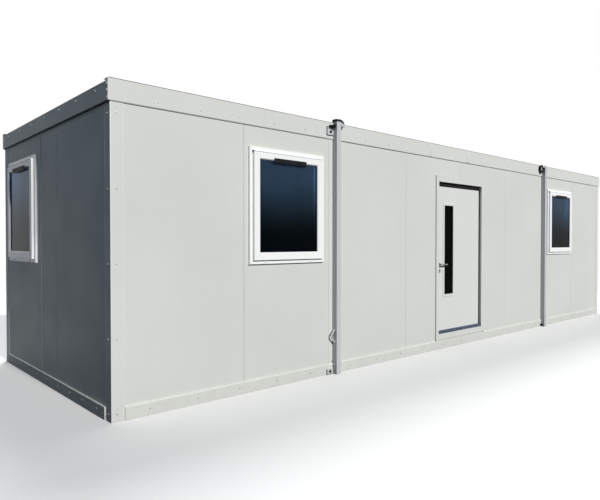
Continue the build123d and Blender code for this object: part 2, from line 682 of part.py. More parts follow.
with BuildPart() as vents:
    vent_z = WINDOW_HEIGHT / 2 - GLASS_INSET
    for window in windows_at.values():
        end_of_vent = window.from_local_coords((-VENT_LENGTH / 2, vent_z, SASH_FRONT))
        # hood section seen along the vent: flat back on the sash, rounded brow, open sloping foot
        with BuildSketch(Plane(origin=end_of_vent, x_dir=window.z_dir, z_dir=window.x_dir)):
            with BuildLine():
                Line((0, VENT_HEIGHT / 2), (0, -VENT_HEIGHT / 2))
                Line((0, -VENT_HEIGHT / 2), (VENT_DEPTH * 0.8, -VENT_HEIGHT / 2))
                Line((VENT_DEPTH * 0.8, -VENT_HEIGHT / 2), (VENT_DEPTH, -VENT_HEIGHT / 4))
                Spline(
                    (VENT_DEPTH, -VENT_HEIGHT / 4),
                    (VENT_DEPTH * 0.75, VENT_HEIGHT * 0.3),
                    (0, VENT_HEIGHT / 2),
                )
            make_face()
        extrude(amount=VENT_LENGTH)
save(vents.part, "window_vents")

# ---------------------------------------------------------------- door frame
LEAF_FRONT = STOP_DEPTH + LEAF_GAP          # leaf's outer face behind the wall plane
LEAF_BACK = LEAF_FRONT + LEAF_THICKNESS
REBATE_GROWTH = LEAF_LAP + LEAF_CLEARANCE
LEAF_WIDTH = DOOR_WIDTH + 2 * LEAF_LAP
LEAF_BOTTOM = DOOR_SILL + LEAF_CLEARANCE
LEAF_TOP = DOOR_HEAD + LEAF_LAP
LEAF_HEIGHT = LEAF_TOP - LEAF_BOTTOM
HINGE_X = LEAF_WIDTH / 2 + LEAF_CLEARANCE / 2
HINGE_Y = -INNER_Y + DOOR_INNER_FLANGE + HINGE_BARREL_LIFT + HINGE_RADIUS
door_plane = facade(face_normal(-1), 0, -FACE_Y, 0)     # wall plane, its own Y is the height above ground
hinge_heights = [
    LEAF_BOTTOM + HINGE_FROM_LEAF_END + index * (LEAF_HEIGHT - 2 * HINGE_FROM_LEAF_END) / (HINGE_COUNT - 1)
    for index in range(HINGE_COUNT)
]


def upright(width, low, high, mode=Mode.ADD):
    """Rectangle of a width on the door's middle line, from low to high above the ground."""
    with Locations((0, (low + high) / 2)):
        Rectangle(width, high - low, mode=mode)


with BuildPart() as door_frame:
    # flange against the outside of the wall
    with BuildSketch(door_plane):
        upright(DOOR_WIDTH + 2 * DOOR_FLANGE_SIDE, DOOR_SILL - DOOR_FLANGE_FOOT, DOOR_HEAD + DOOR_FLANGE_TOP)
        upright(DOOR_WIDTH, DOOR_SILL, DOOR_HEAD, mode=Mode.SUBTRACT)
    extrude(amount=DOOR_FLANGE_PROUD)
    # reveal and stop
    with BuildSketch(door_plane):
        upright(2 * DOOR_CUT, BASE_HEIGHT, DOOR_HEAD + DOOR_FRAME_BODY)
        upright(DOOR_WIDTH, DOOR_SILL, DOOR_HEAD, mode=Mode.SUBTRACT)
    extrude(amount=-STOP_DEPTH)
    # rebate behind the stop, where the leaf lies
    with BuildSketch(door_plane.offset(-STOP_DEPTH)):
        upright(2 * DOOR_CUT, BASE_HEIGHT, DOOR_HEAD + DOOR_FRAME_BODY)
        upright(DOOR_WIDTH + 2 * REBATE_GROWTH, DOOR_SILL, DOOR_HEAD + REBATE_GROWTH, mode=Mode.SUBTRACT)
    extrude(amount=-(WALL_THICKNESS - STOP_DEPTH))
    # flange against the inside of the wall, above the floor
    with BuildSketch(door_plane.offset(-WALL_THICKNESS)):
        upright(DOOR_WIDTH + 2 * DOOR_FLANGE_SIDE, FLOOR_TOP, DOOR_HEAD + DOOR_FLANGE_TOP)
        upright(DOOR_WIDTH + 2 * REBATE_GROWTH, DOOR_SILL, DOOR_HEAD + REBATE_GROWTH, mode=Mode.SUBTRACT)
    extrude(amount=-DOOR_INNER_FLANGE)
    fillet(door_frame.faces().sort_by(Axis.Y)[0].outer_wire().edges(), radius=PLASTIC_EDGE)
    # fixed half of each lift-off hinge: flag, lower knuckle and pin
    for hinge_z in hinge_heights:
        knuckle = HINGE_LENGTH / 2 - HINGE_KNUCKLE_GAP / 2
        flag_y = -INNER_Y + DOOR_INNER_FLANGE + HINGE_FLAG_THICKNESS / 2
        with BuildSketch(Plane.XY.offset(hinge_z - HINGE_LENGTH / 2)):
            with Locations((HINGE_X, HINGE_Y)):
                Circle(HINGE_RADIUS)
            with Locations((HINGE_X + HINGE_FLAG_WIDTH / 2, flag_y)):
                Rectangle(HINGE_FLAG_WIDTH, HINGE_FLAG_THICKNESS)
        extrude(amount=knuckle)
        with BuildSketch(Plane.XY.offset(hinge_z - HINGE_LENGTH / 2)):
            with Locations((HINGE_X, HINGE_Y)):
                Circle(HINGE_PIN_RADIUS)
        extrude(amount=HINGE_LENGTH)
save(door_frame.part, "door_frame")

with BuildPart() as threshold:
    with BuildSketch(facade(end_normal(1), -DOOR_WIDTH / 2, 0, 0)):
        with BuildLine():
            Polyline(
                (-FACE_Y + STOP_DEPTH, DOOR_SILL),
                (-FACE_Y + STOP_DEPTH, DOOR_SILL + THRESHOLD_HEIGHT),
                (-FACE_Y + STOP_DEPTH / 2, DOOR_SILL + THRESHOLD_HEIGHT),
                (-FACE_Y, DOOR_SILL + THRESHOLD_HEIGHT / 4),
                (-FACE_Y - DOOR_FLANGE_PROUD / 2, DOOR_SILL),
                close=True,
            )
        make_face()
    extrude(amount=DOOR_WIDTH)
save(threshold.part, "door_threshold")

# ---------------------------------------------------------------- door leaf
leaf_plane = door_plane.offset(-LEAF_FRONT)
VISION_MIDDLE_Z = LEAF_TOP - VISION_BELOW_LEAF_TOP - VISION_HEIGHT / 2
LEVER_X = -LEAF_WIDTH / 2 + LEVER_FROM_EDGE
VISION_X = -LEAF_WIDTH / 2 + VISION_FROM_EDGE + VISION_WIDTH / 2
vision_plane = facade(face_normal(-1), VISION_X, -FACE_Y + LEAF_FRONT, VISION_MIDDLE_Z)
lever_plane = facade(face_normal(-1), LEVER_X, -FACE_Y + LEAF_FRONT, LEVER_HEIGHT)
lock_plane = facade(face_normal(-1), LEVER_X, -FACE_Y + LEAF_FRONT, LEVER_HEIGHT - LOCK_DROP)

with BuildPart() as leaf:
    with BuildSketch(leaf_plane):
        upright(LEAF_WIDTH, LEAF_BOTTOM, LEAF_TOP)
    extrude(amount=-LEAF_THICKNESS)
    with BuildSketch(vision_plane):
        Rectangle(VISION_WIDTH + 2 * VISION_GLASS_BITE, VISION_HEIGHT + 2 * VISION_GLASS_BITE)
    extrude(amount=-LEAF_THICKNESS, mode=Mode.SUBTRACT)
    with BuildSketch(lever_plane):
        Circle(SPINDLE_RADIUS + PIN_CLEARANCE)
    extrude(amount=-LEAF_THICKNESS, mode=Mode.SUBTRACT)
    # moving half of each hinge: flag and upper knuckle, bored for the pin
    for hinge_z in hinge_heights:
        knuckle = HINGE_LENGTH / 2 - HINGE_KNUCKLE_GAP / 2
        with BuildSketch(Plane.XY.offset(hinge_z + HINGE_KNUCKLE_GAP / 2)):
            leaf_back_y = -FACE_Y + LEAF_BACK
            crank_x = HINGE_X - HINGE_RADIUS
            with BuildLine():
                Polyline(
                    (HINGE_X - HINGE_FLAG_WIDTH, leaf_back_y),
                    (HINGE_X - HINGE_FLAG_WIDTH, leaf_back_y + HINGE_FLAG_THICKNESS),
                    (crank_x - HINGE_FLAG_THICKNESS, leaf_back_y + HINGE_FLAG_THICKNESS),
                    (crank_x, HINGE_Y),
                    (HINGE_X, HINGE_Y),
                    (crank_x + HINGE_FLAG_THICKNESS, leaf_back_y),
                    close=True,
                )
            make_face()
            with Locations((HINGE_X, HINGE_Y)):
                Circle(HINGE_RADIUS)
                Circle(HINGE_PIN_RADIUS + HINGE_PIN_CLEARANCE, mode=Mode.SUBTRACT)
        extrude(amount=knuckle)
save(leaf.part, "door_leaf")

with BuildPart() as vision_frame:
    for plane, outwards in ((vision_plane, 1), (vision_plane.offset(-LEAF_THICKNESS), -1)):
        with BuildSketch(plane):
            Rectangle(VISION_WIDTH + 2 * VISION_FRAME_FACE, VISION_HEIGHT + 2 * VISION_FRAME_FACE)
            Rectangle(VISION_WIDTH, VISION_HEIGHT, mode=Mode.SUBTRACT)
        extrude(amount=outwards * VISION_FRAME_PROUD)
    bead_depth = (LEAF_THICKNESS - VISION_GLASS_THICKNESS) / 2
    for start in (0, -LEAF_THICKNESS + bead_depth):
        with BuildSketch(vision_plane.offset(start)):
            Rectangle(VISION_WIDTH + 2 * VISION_GLASS_BITE, VISION_HEIGHT + 2 * VISION_GLASS_BITE)
            Rectangle(VISION_WIDTH, VISION_HEIGHT, mode=Mode.SUBTRACT)
        extrude(amount=-bead_depth)
    for rim_face in (vision_frame.faces().sort_by(Axis.Y)[0], vision_frame.faces().sort_by(Axis.Y)[-1]):
        chamfer(rim_face.outer_wire().edges(), length=VISION_FRAME_PROUD / 2)
save(vision_frame.part, "door_vision_frame")

with BuildPart() as vision_glass:
    with BuildSketch(vision_plane.offset(-(LEAF_THICKNESS - VISION_GLASS_THICKNESS) / 2)):
        Rectangle(VISION_WIDTH + 2 * VISION_GLASS_BITE, VISION_HEIGHT + 2 * VISION_GLASS_BITE)
    extrude(amount=-VISION_GLASS_THICKNESS)
save(vision_glass.part, "door_vision_glass")

# ---------------------------------------------------------------- door furniture
with BuildPart() as lock_trim:
    for plane, outwards in ((lever_plane, 1), (lever_plane.offset(-LEAF_THICKNESS), -1)):
        with BuildSketch(plane):
            Circle(ROSE_RADIUS)
            Circle(LEVER_NECK_RADIUS + PIN_CLEARANCE, mode=Mode.SUBTRACT)
        extrude(amount=outwards * ROSE_THICKNESS)
    for plane, outwards in ((lock_plane, 1), (lock_plane.offset(-LEAF_THICKNESS), -1)):
        with BuildSketch(plane):
            Circle(ROSE_RADIUS)
        extrude(amount=outwards * ROSE_THICKNESS)
        with BuildSketch(plane.offset(outwards * ROSE_THICKNESS)):
            Rectangle(KEYWAY_WIDTH, KEYWAY_HEIGHT)
        extrude(amount=-outwards * ROSE_THICKNESS / 2, mode=Mode.SUBTRACT)
save(lock_trim.part, "door_lock_trim")

with BuildPart() as lever:
    with BuildSketch(lever_plane.offset(LEVER_FACE_GAP)):
        Circle(SPINDLE_RADIUS)
    extrude(amount=-LEAF_THICKNESS - 2 * LEVER_FACE_GAP)
    for outwards in (1, -1):
        neck_start = LEVER_FACE_GAP if outwards > 0 else -LEAF_THICKNESS - LEVER_FACE_GAP
        with BuildSketch(lever_plane.offset(neck_start)):
            Circle(LEVER_NECK_RADIUS)
        extrude(amount=outwards * (LEVER_STANDOFF - 1.5 * LEVER_BEND))
        # grip: a bar that leaves the neck and bends towards the hinges
        grip_origin = lever_plane.from_local_coords((0, 0, neck_start))
        grip_y = -outwards * LEVER_STANDOFF
        with BuildLine(Plane(origin=grip_origin, x_dir=(1, 0, 0), z_dir=(0, 0, 1))) as grip_path:
            FilletPolyline((0, 0), (0, grip_y), (LEVER_LENGTH, grip_y), radius=LEVER_BEND)
        grip_wire = grip_path.wire()
        with BuildSketch(Plane(origin=grip_wire @ 0, z_dir=grip_wire % 0)):
            Circle(LEVER_GRIP_RADIUS)
        sweep(path=grip_wire)
    tips = lever.faces().sort_by(Axis.X)[-2:]
    fillet([edge for tip in tips for edge in tip.edges()], radius=LEVER_TIP_RADIUS)
save(lever.part, "door_lever")
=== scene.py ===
"""Portable site cabin: steel-faced panel walls on a steel base, with a folding wing at each end."""

import math

import bpy
from mathutils import Matrix, Vector


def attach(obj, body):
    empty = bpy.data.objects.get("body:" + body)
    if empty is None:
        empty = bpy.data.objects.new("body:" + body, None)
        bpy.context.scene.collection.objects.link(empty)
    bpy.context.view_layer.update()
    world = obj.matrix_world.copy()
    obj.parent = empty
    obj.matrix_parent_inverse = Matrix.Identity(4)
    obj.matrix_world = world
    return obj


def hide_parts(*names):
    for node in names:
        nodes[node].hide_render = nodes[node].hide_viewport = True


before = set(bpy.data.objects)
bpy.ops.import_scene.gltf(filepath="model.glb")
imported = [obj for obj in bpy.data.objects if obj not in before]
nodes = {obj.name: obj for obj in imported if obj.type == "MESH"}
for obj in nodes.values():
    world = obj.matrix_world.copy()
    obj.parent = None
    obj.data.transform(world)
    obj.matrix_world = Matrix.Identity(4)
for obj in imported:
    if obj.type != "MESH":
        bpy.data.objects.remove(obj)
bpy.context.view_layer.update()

# ---- Camera ----
# Eye-level view from off the near-left corner, looking along the door side.
CAMERA_AT = (-6.2917, -5.3186, 1.3302)
CAMERA_YAW = 41.887
CAMERA_PITCH = -0.861
CAMERA_LENS = 32.887

bpy.ops.object.camera_add(
    location=CAMERA_AT,
    rotation=(math.radians(90 + CAMERA_PITCH), 0, math.radians(-CAMERA_YAW)),
)
camera = bpy.context.object
camera.name = "camera"
camera.data.lens = CAMERA_LENS
camera.data.sensor_width = 36
camera.data.clip_end = 200
bpy.context.scene.camera = camera

# ---- Light, floor and background ----
# A soft key from the door side, a weaker one from behind the far end, an even dome,
# and a pale round floor that melts into a white surround.
KEY_STRENGTH = 3.40
KEY_COLOUR = (1.0, 0.985, 0.955)
KEY_AZIMUTH, KEY_ELEVATION, KEY_SOFTNESS = -0.4, 30, 4
BACK_STRENGTH = 2.9
BACK_COLOUR = (1.0, 1.0, 1.0)
BACK_AZIMUTH, BACK_ELEVATION, BACK_SOFTNESS = 140, 50, 30
DOME_STRENGTH = 0.10
DOME_COLOUR = (0.42, 0.68, 1.0, 1)
FLOOR_RADIUS = 26
FLOOR_SOLID_RADIUS = 5.8
FLOOR_FADE_RADIUS = 12.5
FLOOR_WHITE = (0.93, 0.93, 0.93, 1)
FLOOR_BOUNCE = (0.05, 0.05, 0.05, 1)


def node(mat, kind, **settings):
    """Adds a shader node to a material or world and sets its properties and unlinked inputs."""
    made = mat.node_tree.nodes.new(kind)
    for key, value in settings.items():
        if key.startswith("in_"):
            slot = key[3:]
            made.inputs[int(slot) if slot.isdigit() else slot.replace("_", " ")].default_value = value
        else:
            setattr(made, key, value)
    return made


def wire(mat, *pairs):
    """Links (node, output, node, input) groups."""
    for source, output, target, entry in pairs:
        mat.node_tree.links.new(source.outputs[output], target.inputs[entry])


def lamp(name, azimuth, elevation, strength, softness, colour):
    """A soft distant lamp; azimuth 0 shines on the door side, 90 on the right end."""
    bpy.ops.object.light_add(
        type="SUN", rotation=(math.radians(90 - elevation), 0, math.radians(azimuth))
    )
    made = bpy.context.object
    made.name = name
    made.data.energy = strength
    made.data.color = colour
    made.data.angle = math.radians(softness)


def seen_directly(mat):
    """1 for rays that look at the surface itself, through glass or by reflection; 0 for its bounced light."""
    path = node(mat, "ShaderNodeLightPath")
    either = node(mat, "ShaderNodeMath", operation="ADD")
    total = node(mat, "ShaderNodeMath", operation="ADD", use_clamp=True)
    wire(mat, (path, "Is Camera Ray", either, 0), (path, "Is Glossy Ray", either, 1),
         (either, 0, total, 0), (path, "Is Transmission Ray", total, 1))
    return total


lamp("key", KEY_AZIMUTH, KEY_ELEVATION, KEY_STRENGTH, KEY_SOFTNESS, KEY_COLOUR)
lamp("back_light", BACK_AZIMUTH, BACK_ELEVATION, BACK_STRENGTH, BACK_SOFTNESS, BACK_COLOUR)

world = bpy.data.worlds.new("surround")
world.use_nodes = True
world.node_tree.nodes.clear()
bpy.context.scene.world = world
dome = node(world, "ShaderNodeBackground", in_Color=DOME_COLOUR, in_Strength=DOME_STRENGTH)
white = node(world, "ShaderNodeBackground", in_Color=(1, 1, 1, 1), in_Strength=1)
either_way = node(world, "ShaderNodeMixShader")
sky = node(world, "ShaderNodeOutputWorld")
wire(world, (seen_directly(world), 0, either_way, 0), (dome, 0, either_way, 1),
     (white, 0, either_way, 2), (either_way, 0, sky, 0))

floor_paint = bpy.data.materials.new("studio_floor")
floor_paint.use_nodes = True
floor_paint.node_tree.nodes.clear()
place = node(floor_paint, "ShaderNodeTexCoord")
flat = node(floor_paint, "ShaderNodeVectorMath", operation="MULTIPLY")
flat.inputs[1].default_value = (1, 1, 0)
reach = node(floor_paint, "ShaderNodeVectorMath", operation="LENGTH")
fade = node(floor_paint, "ShaderNodeMapRange", interpolation_type="SMOOTHSTEP",
            in_From_Min=FLOOR_SOLID_RADIUS, in_From_Max=FLOOR_FADE_RADIUS)
shown = node(floor_paint, "ShaderNodeBsdfDiffuse", in_Color=FLOOR_WHITE)
bounce = node(floor_paint, "ShaderNodeBsdfDiffuse", in_Color=FLOOR_BOUNCE)
clear = node(floor_paint, "ShaderNodeBsdfTransparent")
by_ray = node(floor_paint, "ShaderNodeMixShader")
by_reach = node(floor_paint, "ShaderNodeMixShader")
floor_output = node(floor_paint, "ShaderNodeOutputMaterial")
wire(floor_paint, (place, "Object", flat, 0), (flat, 0, reach, 0), (reach, "Value", fade, "Value"),
     (seen_directly(floor_paint), 0, by_ray, 0), (bounce, 0, by_ray, 1), (shown, 0, by_ray, 2),
     (fade, 0, by_reach, 0), (by_ray, 0, by_reach, 1), (clear, 0, by_reach, 2),
     (by_reach, 0, floor_output, 0))

bpy.ops.mesh.primitive_circle_add(vertices=96, radius=FLOOR_RADIUS, fill_type="NGON", location=(0, 0, -0.001))
bpy.ops.object.transform_apply(location=True)
floor = bpy.context.object
floor.name = "studio_floor"
floor.data.materials.append(floor_paint)

bpy.context.scene.view_settings.view_transform = "Standard"

# ---- Base frames ----
# Rolled steel channels welded into a tray under each part of the cabin, with cross members, behind
# a folded cover strip that is screwed on; spray painted the same grey white as the walls.
BASE_NODES = ("core_base_frame", "left_wing_base_frame", "right_wing_base_frame")


def blend_colour(mat, factor, first, second, mode="MIX"):
    """Colour mix; factor, first and second are colours, numbers or (node, output) pairs."""
    made = node(mat, "ShaderNodeMix", data_type="RGBA", blend_type=mode)
    for entry, value in ((0, factor), (6, first), (7, second)):
        if isinstance(value, tuple) and hasattr(value[0], "outputs"):
            mat.node_tree.links.new(value[0].outputs[value[1]], made.inputs[entry])
        elif isinstance(value, tuple):
            made.inputs[entry].default_value = (*value[:3], 1)
        else:
            made.inputs[entry].default_value = value
    return made, 2


def cloud(mat, coordinates, scale, detail, stretch=(1, 1, 1), roughness=0.55):
    """Soft noise on Object coordinates, stretched along an axis where stretch is under 1."""
    spread = node(mat, "ShaderNodeMapping")
    spread.inputs["Scale"].default_value = stretch
    noise = node(mat, "ShaderNodeTexNoise", in_Scale=scale, in_Detail=detail, in_Roughness=roughness)
    wire(mat, (coordinates, "Object", spread, 0), (spread, 0, noise, "Vector"))
    return noise


def span(mat, source, output, low, high, to_low=0.0, to_high=1.0, smooth=False):
    """Maps a value from low..high to to_low..to_high."""
    made = node(mat, "ShaderNodeMapRange", in_From_Min=low, in_From_Max=high, in_To_Min=to_low,
                in_To_Max=to_high)
    if smooth:
        made.interpolation_type = "SMOOTHSTEP"
    wire(mat, (source, output, made, "Value"))
    return made


def times(mat, first, second):
    """Product of two nodes' first outputs, kept between 0 and 1."""
    made = node(mat, "ShaderNodeMath", operation="MULTIPLY", use_clamp=True)
    wire(mat, (first, 0, made, 0), (second, 0, made, 1))
    return made


def new_material(name):
    """A node material and its main shader."""
    mat = bpy.data.materials.new(name)
    mat.use_nodes = True
    return mat, mat.node_tree.nodes["Principled BSDF"]


def painted_steel(name, colour, rough, metallic=0.0, shade=0.035, peel=0.00012, buckle=0.0, splash=0.10,
                  streaks=0.06, specular=0.04):
    """Coil-coated or sprayed sheet: fine peel, faint waviness, rain streaks and splash dirt low down."""
    mat, shader = new_material(name)
    shader.inputs["Metallic"].default_value = metallic
    shader.inputs["Specular IOR Level"].default_value = specular
    at = node(mat, "ShaderNodeTexCoord")
    parts = node(mat, "ShaderNodeSeparateXYZ")
    wire(mat, (at, "Object", parts, 0))
    # broad tone drift
    drift = cloud(mat, at, 0.9, 4)
    toned = span(mat, drift, 0, 0.3, 0.7, 1 - shade, 1 + shade)
    tone = node(mat, "ShaderNodeCombineColor")
    wire(mat, (toned, 0, tone, 0), (toned, 0, tone, 1), (toned, 0, tone, 2))
    base = blend_colour(mat, 1.0, colour, (tone, 0), "MULTIPLY")
    # thin vertical rain streaks
    runs = cloud(mat, at, 9.0, 5, (4.0, 4.0, 0.10), 0.7)
    run_mask = span(mat, runs, 0, 0.56, 0.80, 0.0, streaks)
    base = blend_colour(mat, (run_mask, 0), base, (0.33, 0.32, 0.29))
    # dust and splash near the ground
    low = span(mat, parts, "Z", 0.0, 0.34, 1.0, 0.0, smooth=True)
    specks = cloud(mat, at, 14.0, 6, (1, 1, 0.55), 0.75)
    speck_mask = span(mat, specks, 0, 0.38, 0.72, 0.0, splash)
    base = blend_colour(mat, (times(mat, low, speck_mask), 0), base, (0.30, 0.27, 0.22))
    wire(mat, (base[0], base[1], shader, "Base Color"))
    # sheen varies with the film of dust
    film = cloud(mat, at, 3.2, 5)
    sheen = span(mat, film, 0, 0.3, 0.7, rough - 0.05, rough + 0.07)
    wire(mat, (sheen, 0, shader, "Roughness"))
    # peel of the paint, over the faint buckling of a thin sheet
    grain = cloud(mat, at, 420.0, 2)
    fine = node(mat, "ShaderNodeBump", in_Strength=0.6, in_Distance=peel)
    wire(mat, (grain, 0, fine, "Height"), (fine, 0, shader, "Normal"))
    if buckle:
        waves = cloud(mat, at, 1.6, 1, (1, 1, 0.6))
        broad = node(mat, "ShaderNodeBump", in_Strength=0.5, in_Distance=buckle)
        wire(mat, (waves, 0, broad, "Height"), (broad, 0, fine, "Normal"))
    return mat


def outermost(name, axis):
    """The farthest that a CAD node reaches from the cabin's middle along an axis, to 0.1 mm."""
    return round(max(abs(getattr(vertex.co, axis)) for vertex in nodes[name].data.vertices), 4)


def innermost(name, axis):
    """The nearest that a CAD node comes to the cabin's middle along an axis, to 0.1 mm."""
    return round(min(abs(getattr(vertex.co, axis)) for vertex in nodes[name].data.vertices), 4)


def coat(material, *names):
    """Puts a material on CAD nodes."""
    for name in names:
        slots = nodes[name].material_slots
        if slots:
            for slot in slots:
                slot.material = material
        else:
            nodes[name].data.materials.append(material)


def only(piece):
    """Selects one object alone and makes it active."""
    bpy.ops.object.select_all(action="DESELECT")
    piece.select_set(True)
    bpy.context.view_layer.objects.active = piece


def faces_mode(piece, chosen):
    """Edit mode with just the faces picked by chosen(face) selected."""
    only(piece)
    bpy.ops.object.mode_set(mode="EDIT")
    bpy.ops.mesh.select_mode(type="FACE")
    bpy.ops.mesh.select_all(action="DESELECT")
    bpy.ops.object.mode_set(mode="OBJECT")
    for face in piece.data.polygons:
        face.select = bool(chosen(face))
    bpy.ops.object.mode_set(mode="EDIT")


def applied(piece, kind, **settings):
    """Adds a modifier, sets it and applies it."""
    only(piece)
    made = piece.modifiers.new(kind.title(), kind)
    for key, value in settings.items():
        setattr(made, key, value)
    bpy.ops.object.modifier_apply(modifier=made.name)


def slab(low, high, bevel, segments=2):
    """A block between two corners, its edges rounded."""
    middle = [(a + b) / 2 for a, b in zip(low, high)]
    bpy.ops.object.select_all(action="DESELECT")
    bpy.ops.mesh.primitive_cube_add(size=1, location=middle)
    piece = bpy.context.object
    piece.scale = [b - a for a, b in zip(low, high)]
    bpy.ops.object.transform_apply(location=True, rotation=True, scale=True)
    applied(piece, "BEVEL", width=bevel, segments=segments, limit_method="ANGLE",
            angle_limit=math.radians(40))
    return piece


def disc(radius, low, high, sides, at=(0, 0), bevel=0.0):
    """An upright drum between two heights, its rims rounded."""
    bpy.ops.object.select_all(action="DESELECT")
    bpy.ops.mesh.primitive_cylinder_add(
        vertices=sides, radius=radius, depth=high - low, location=(*at, (low + high) / 2)
    )
    piece = bpy.context.object
    bpy.ops.object.transform_apply(location=True, rotation=True, scale=True)
    if bevel:
        applied(piece, "BEVEL", width=bevel, segments=2, limit_method="ANGLE",
                angle_limit=math.radians(50))
    return piece


def band(side, first, second):
    """The two depths on one side of the cabin, -1 or 1, the lower first."""
    return sorted((side * first, side * second))


def joined(pieces, name):
    """Joins meshes into one object of that name."""
    only(pieces[0])
    for piece in pieces:
        piece.select_set(True)
    bpy.ops.object.join()
    pieces[0].name = pieces[0].data.name = name
    return pieces[0]


def facing(at, out):
    """Matrix from a wall's own frame (across, up, outwards) to the cabin's."""
    out = Vector(out)
    up = Vector((0, 1, 0)) if abs(out.z) > 0.5 else Vector((0, 0, 1))
    turn = Matrix((up.cross(out), up, out)).transposed()
    return Matrix.Translation(at) @ turn.to_4x4()


def copied(master, name, at, out):
    """A copy of a piece with its own mesh, set on a face at a point."""
    made = master.copy()
    made.data = master.data.copy()
    made.name = made.data.name = name
    bpy.context.scene.collection.objects.link(made)
    made.data.transform(facing(at, out))
    return made


def row(master, first, step, count, out):
    """Evenly spaced copies along a line, as one mesh."""
    made = copied(master, "row", first, out)
    applied(made, "ARRAY", count=count, use_relative_offset=False, use_constant_offset=True,
            constant_offset_displace=step)
    return made


def finish_piece(piece, material, body="cabin"):
    """Gives a finished piece its material, shading and body."""
    piece.data.materials.clear()
    piece.data.materials.append(material)
    only(piece)
    bpy.ops.object.shade_smooth_by_angle(angle=math.radians(30))
    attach(piece, body)


def finish_joined(pieces, name, material, body="cabin"):
    """Joins meshes under a name and finishes them as one piece."""
    finish_piece(joined(pieces, name), material, body)


base_paint = painted_steel("base_steel_paint", (0.670, 0.684, 0.655), rough=0.45, splash=0.16, streaks=0.07)
coat(base_paint, *BASE_NODES)

# washer-headed hexagon screw, driven through the sheet
washer = disc(0.0070, 0.0, 0.0016, sides=20, bevel=0.0005)
hexagon = disc(0.0044, 0.0014, 0.0054, sides=6)
faces_mode(hexagon, lambda face: face.normal.z > 0.9)
bpy.ops.mesh.inset(thickness=0.0008)
bpy.ops.mesh.inset(thickness=0.0006, depth=-0.0009)
bpy.ops.object.mode_set(mode="OBJECT")
screw = joined([washer, hexagon], "screw_master")

screw_paint = painted_steel("screw_zinc", (0.44, 0.45, 0.45), rough=0.38, metallic=0.6, shade=0.2,
                            peel=0.00005, splash=0.1, streaks=0.0)

FRONT, BACK, LEFT, RIGHT = (0, -1, 0), (0, 1, 0), (-1, 0, 0), (1, 0, 0)
RAIL_FACE, RAIL_TOP = outermost("core_base_frame", "y"), outermost("core_base_frame", "z")
RAIL_END_FACE = outermost("left_wing_base_frame", "x")
RAIL_SCREW_STEP, RAIL_SCREW_HIGH = 0.42, 0.052
RAIL_END_SCREW_FIRST, RAIL_END_SCREW_STEP, RAIL_END_SCREW_HIGH = -1.168, 0.292, 0.058
RAIL_SCREW_RUNS = (-4.35, 5), (-2.10, 11), (2.62, 5)
rail_screws = []
for out in (FRONT, BACK):
    for start, count in RAIL_SCREW_RUNS:
        first = (start, out[1] * RAIL_FACE, RAIL_SCREW_HIGH)
        rail_screws.append(row(screw, first, (RAIL_SCREW_STEP, 0, 0), count, out))
for out in (LEFT, RIGHT):
    first = (out[0] * RAIL_END_FACE, RAIL_END_SCREW_FIRST, RAIL_END_SCREW_HIGH)
    rail_screws.append(row(screw, first, (0, RAIL_END_SCREW_STEP, 0), 9, out))
finish_joined(rail_screws, "base_rail_screws", screw_paint)

# pale strip along the top edge of each cover strip, in a lighter paint than the rail: a painted highlight
HIGHLIGHT_PROUD, HIGHLIGHT_BELOW, HIGHLIGHT_ABOVE, HIGHLIGHT_BEVEL = 0.0016, 0.0075, 0.0012, 0.0008
HIGHLIGHT_LOW, HIGHLIGHT_HIGH = RAIL_TOP - HIGHLIGHT_BELOW, RAIL_TOP + HIGHLIGHT_ABOVE
POST_WING, POST_CORE = outermost("front_left_post", "x"), innermost("front_left_post", "x")
POST_GAP, CORNER_GAP = 0.0005, 0.001
TRIM_INNER_X = innermost("front_left_corner_trim", "x")
TRIM_INNER_Y = innermost("front_left_corner_trim", "y")
HIGHLIGHT_END_HALF = TRIM_INNER_Y - CORNER_GAP


def long_runs(end, core_end=POST_CORE - POST_GAP):
    """The stretches of a long side: the left wing, the core between the posts, the right wing."""
    wing_start = POST_WING + POST_GAP
    return (-end, -wing_start), (-core_end, core_end), (wing_start, end)


highlight_strips = []
for y_side in (-1, 1):
    near, far = band(y_side, RAIL_FACE, RAIL_FACE + HIGHLIGHT_PROUD)
    for start, end in long_runs(TRIM_INNER_X - CORNER_GAP):
        highlight_strips.append(slab((start, near, HIGHLIGHT_LOW), (end, far, HIGHLIGHT_HIGH), HIGHLIGHT_BEVEL))
for x_side in (-1, 1):
    near, far = band(x_side, RAIL_END_FACE, RAIL_END_FACE + HIGHLIGHT_PROUD)
    highlight_strips.append(slab((near, -HIGHLIGHT_END_HALF, HIGHLIGHT_LOW), (far, HIGHLIGHT_END_HALF, HIGHLIGHT_HIGH), HIGHLIGHT_BEVEL))
# lighter than the rail's paint: a painted highlight
highlight_paint = painted_steel("painted_rail_highlight", (0.80, 0.81, 0.78), rough=0.4, shade=0.02, splash=0.05,
                          streaks=0.03)
finish_joined(highlight_strips, "base_rail_highlight_strips", highlight_paint)

# ---- Floor decks ----
# Cement-bonded boards screwed to the cross members of the base frame, covered with a hard-wearing
# speckled sheet vinyl that is glued down.
VINYL, PALE_CHIP, DARK_CHIP = (0.20, 0.185, 0.165), (0.36, 0.34, 0.31), (0.09, 0.08, 0.075)

